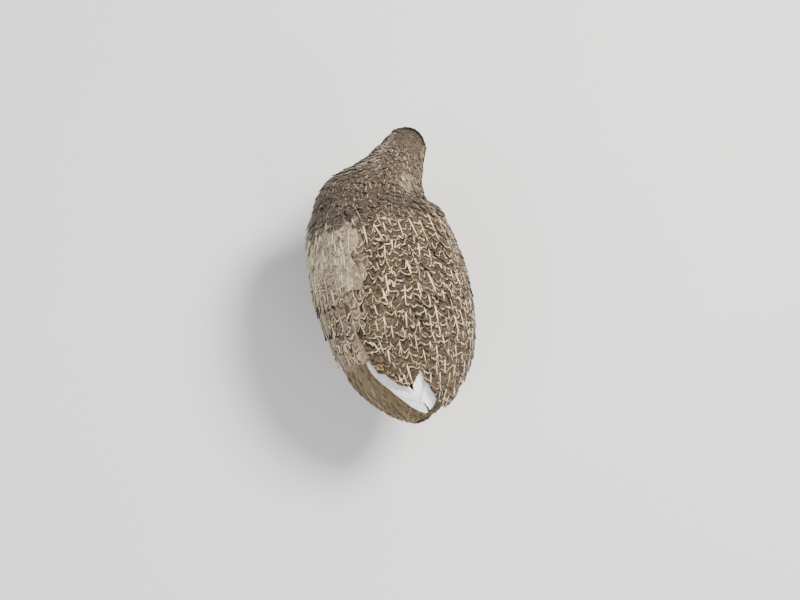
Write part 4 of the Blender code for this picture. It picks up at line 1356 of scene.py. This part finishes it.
def makeLid(word, centre, radius, look, up, facing):
    middle = centre + look * radius * lidLook["ahead"]
    clearSelection()
    bpy.ops.mesh.primitive_torus_add(major_segments=64, minor_segments=14, location=middle, rotation=facing,
                                     major_radius=radius * lidLook["major"],
                                     minor_radius=radius * lidLook["minor"])
    lid = settle(bpy.context.object)
    lid.name = "lid" + word.capitalize()
    up = (up - look * up.dot(look)).normalized()
    ahead = look.cross(up).normalized()
    first, more, after = lidLook["corner"]
    for v in lid.data.vertices:
        out = v.co - middle
        # a little flatter above and below, drawn out into corners fore and aft
        high, fore = out.dot(up), out.dot(ahead)
        v.co -= up * high * lidLook["flatter"]
        v.co += ahead * fore * (first + more * max(0.0, abs(fore) / radius - after))
        v.co -= look * abs(fore) * lidLook["wrap"]
    putModifier(lid, "DISPLACE", strength=lidLook["swell"])
    finishAs(smooth(lid), lidMaterial, "body_plumage")


eyeMaterial = eyeShade()
lidMaterial = lidShade()
for word in sides:
    makeLid(word, *makeEye(word))
print("quail: eyes and lids made")


def hornShade(name, dark, light, scale):
    paint = Shade(name, Roughness=0.42, Specular_IOR_Level=0.45)
    where = paint.place()
    grain = paint.noise(paint.stretch(where, (1.0, 1.0, 2.2)), scale, 4.0, 0.6)
    paint.feed("Base Color", paint.mix(grain, rgb(*dark), rgb(*light)))
    paint.feed("Roughness", 0.34 + grain * 0.22)
    paint.bump(grain, 0.25, 0.00015)
    return paint.material


billMaterial = hornShade("billHorn", (0.03, 0.026, 0.025), (0.10, 0.083, 0.073), 700.0)
clawMaterial = hornShade("clawHorn", (0.07, 0.05, 0.036), (0.18, 0.13, 0.095), 900.0)


# size of the finest detail in m and rounds of smoothing
billLook = {"voxel": 0.00018, "rounds": 4}
legLook = {"voxel": 0.0003, "rounds": 3}


def makeBill():
    for name, node in (("billUpper", "bill_upper"), ("billLower", "bill_lower")):
        finishAs(melt(copyOfNodes(name, [node]), **billLook), billMaterial, "horn", node)


makeBill()


def legShade():
    paint = Shade("legScales", Roughness=0.55, Specular_IOR_Level=0.4, Subsurface_Weight=0.08,
                  Subsurface_Radius=(0.002, 0.001, 0.0006))
    where = paint.place()
    scales = paint.add("ShaderNodeTexVoronoi", {"feature": "DISTANCE_TO_EDGE"},
                       {"Vector": paint.stretch(where, (1.0, 1.0, 0.7)), "Scale": 1050.0})
    groove = paint.step(scales, 0.0, 0.12)
    tint = paint.noise(where, 240.0, 3.0, 0.5)
    colour = paint.mix(tint, rgb(0.50, 0.35, 0.24), rgb(0.64, 0.48, 0.34))
    colour = paint.mix((1 - groove) * 0.55, colour, rgb(0.36, 0.23, 0.165))
    paint.feed("Base Color", colour)
    paint.bump(groove, 0.6, 0.00025)
    return paint.material


def makeLegs():
    material = legShade()
    for word in sides:
        nodes = ["shank_" + word, "foot_" + word]
        finishAs(melt(copyOfNodes("leg" + word.capitalize(), nodes), **legLook), material, "leg_skin", *nodes)
        for k in range(1, 5):
            node = f"claw_{word}_{k}"
            claw = copyOfNodes(f"claw{word.capitalize()}{k}", [node])
            putModifier(claw, "SUBSURF", levels=2, render_levels=2)
            finishAs(smooth(claw), clawMaterial, "horn", node)


makeLegs()
print("quail: bill, legs and claws made")

print("quail: done")
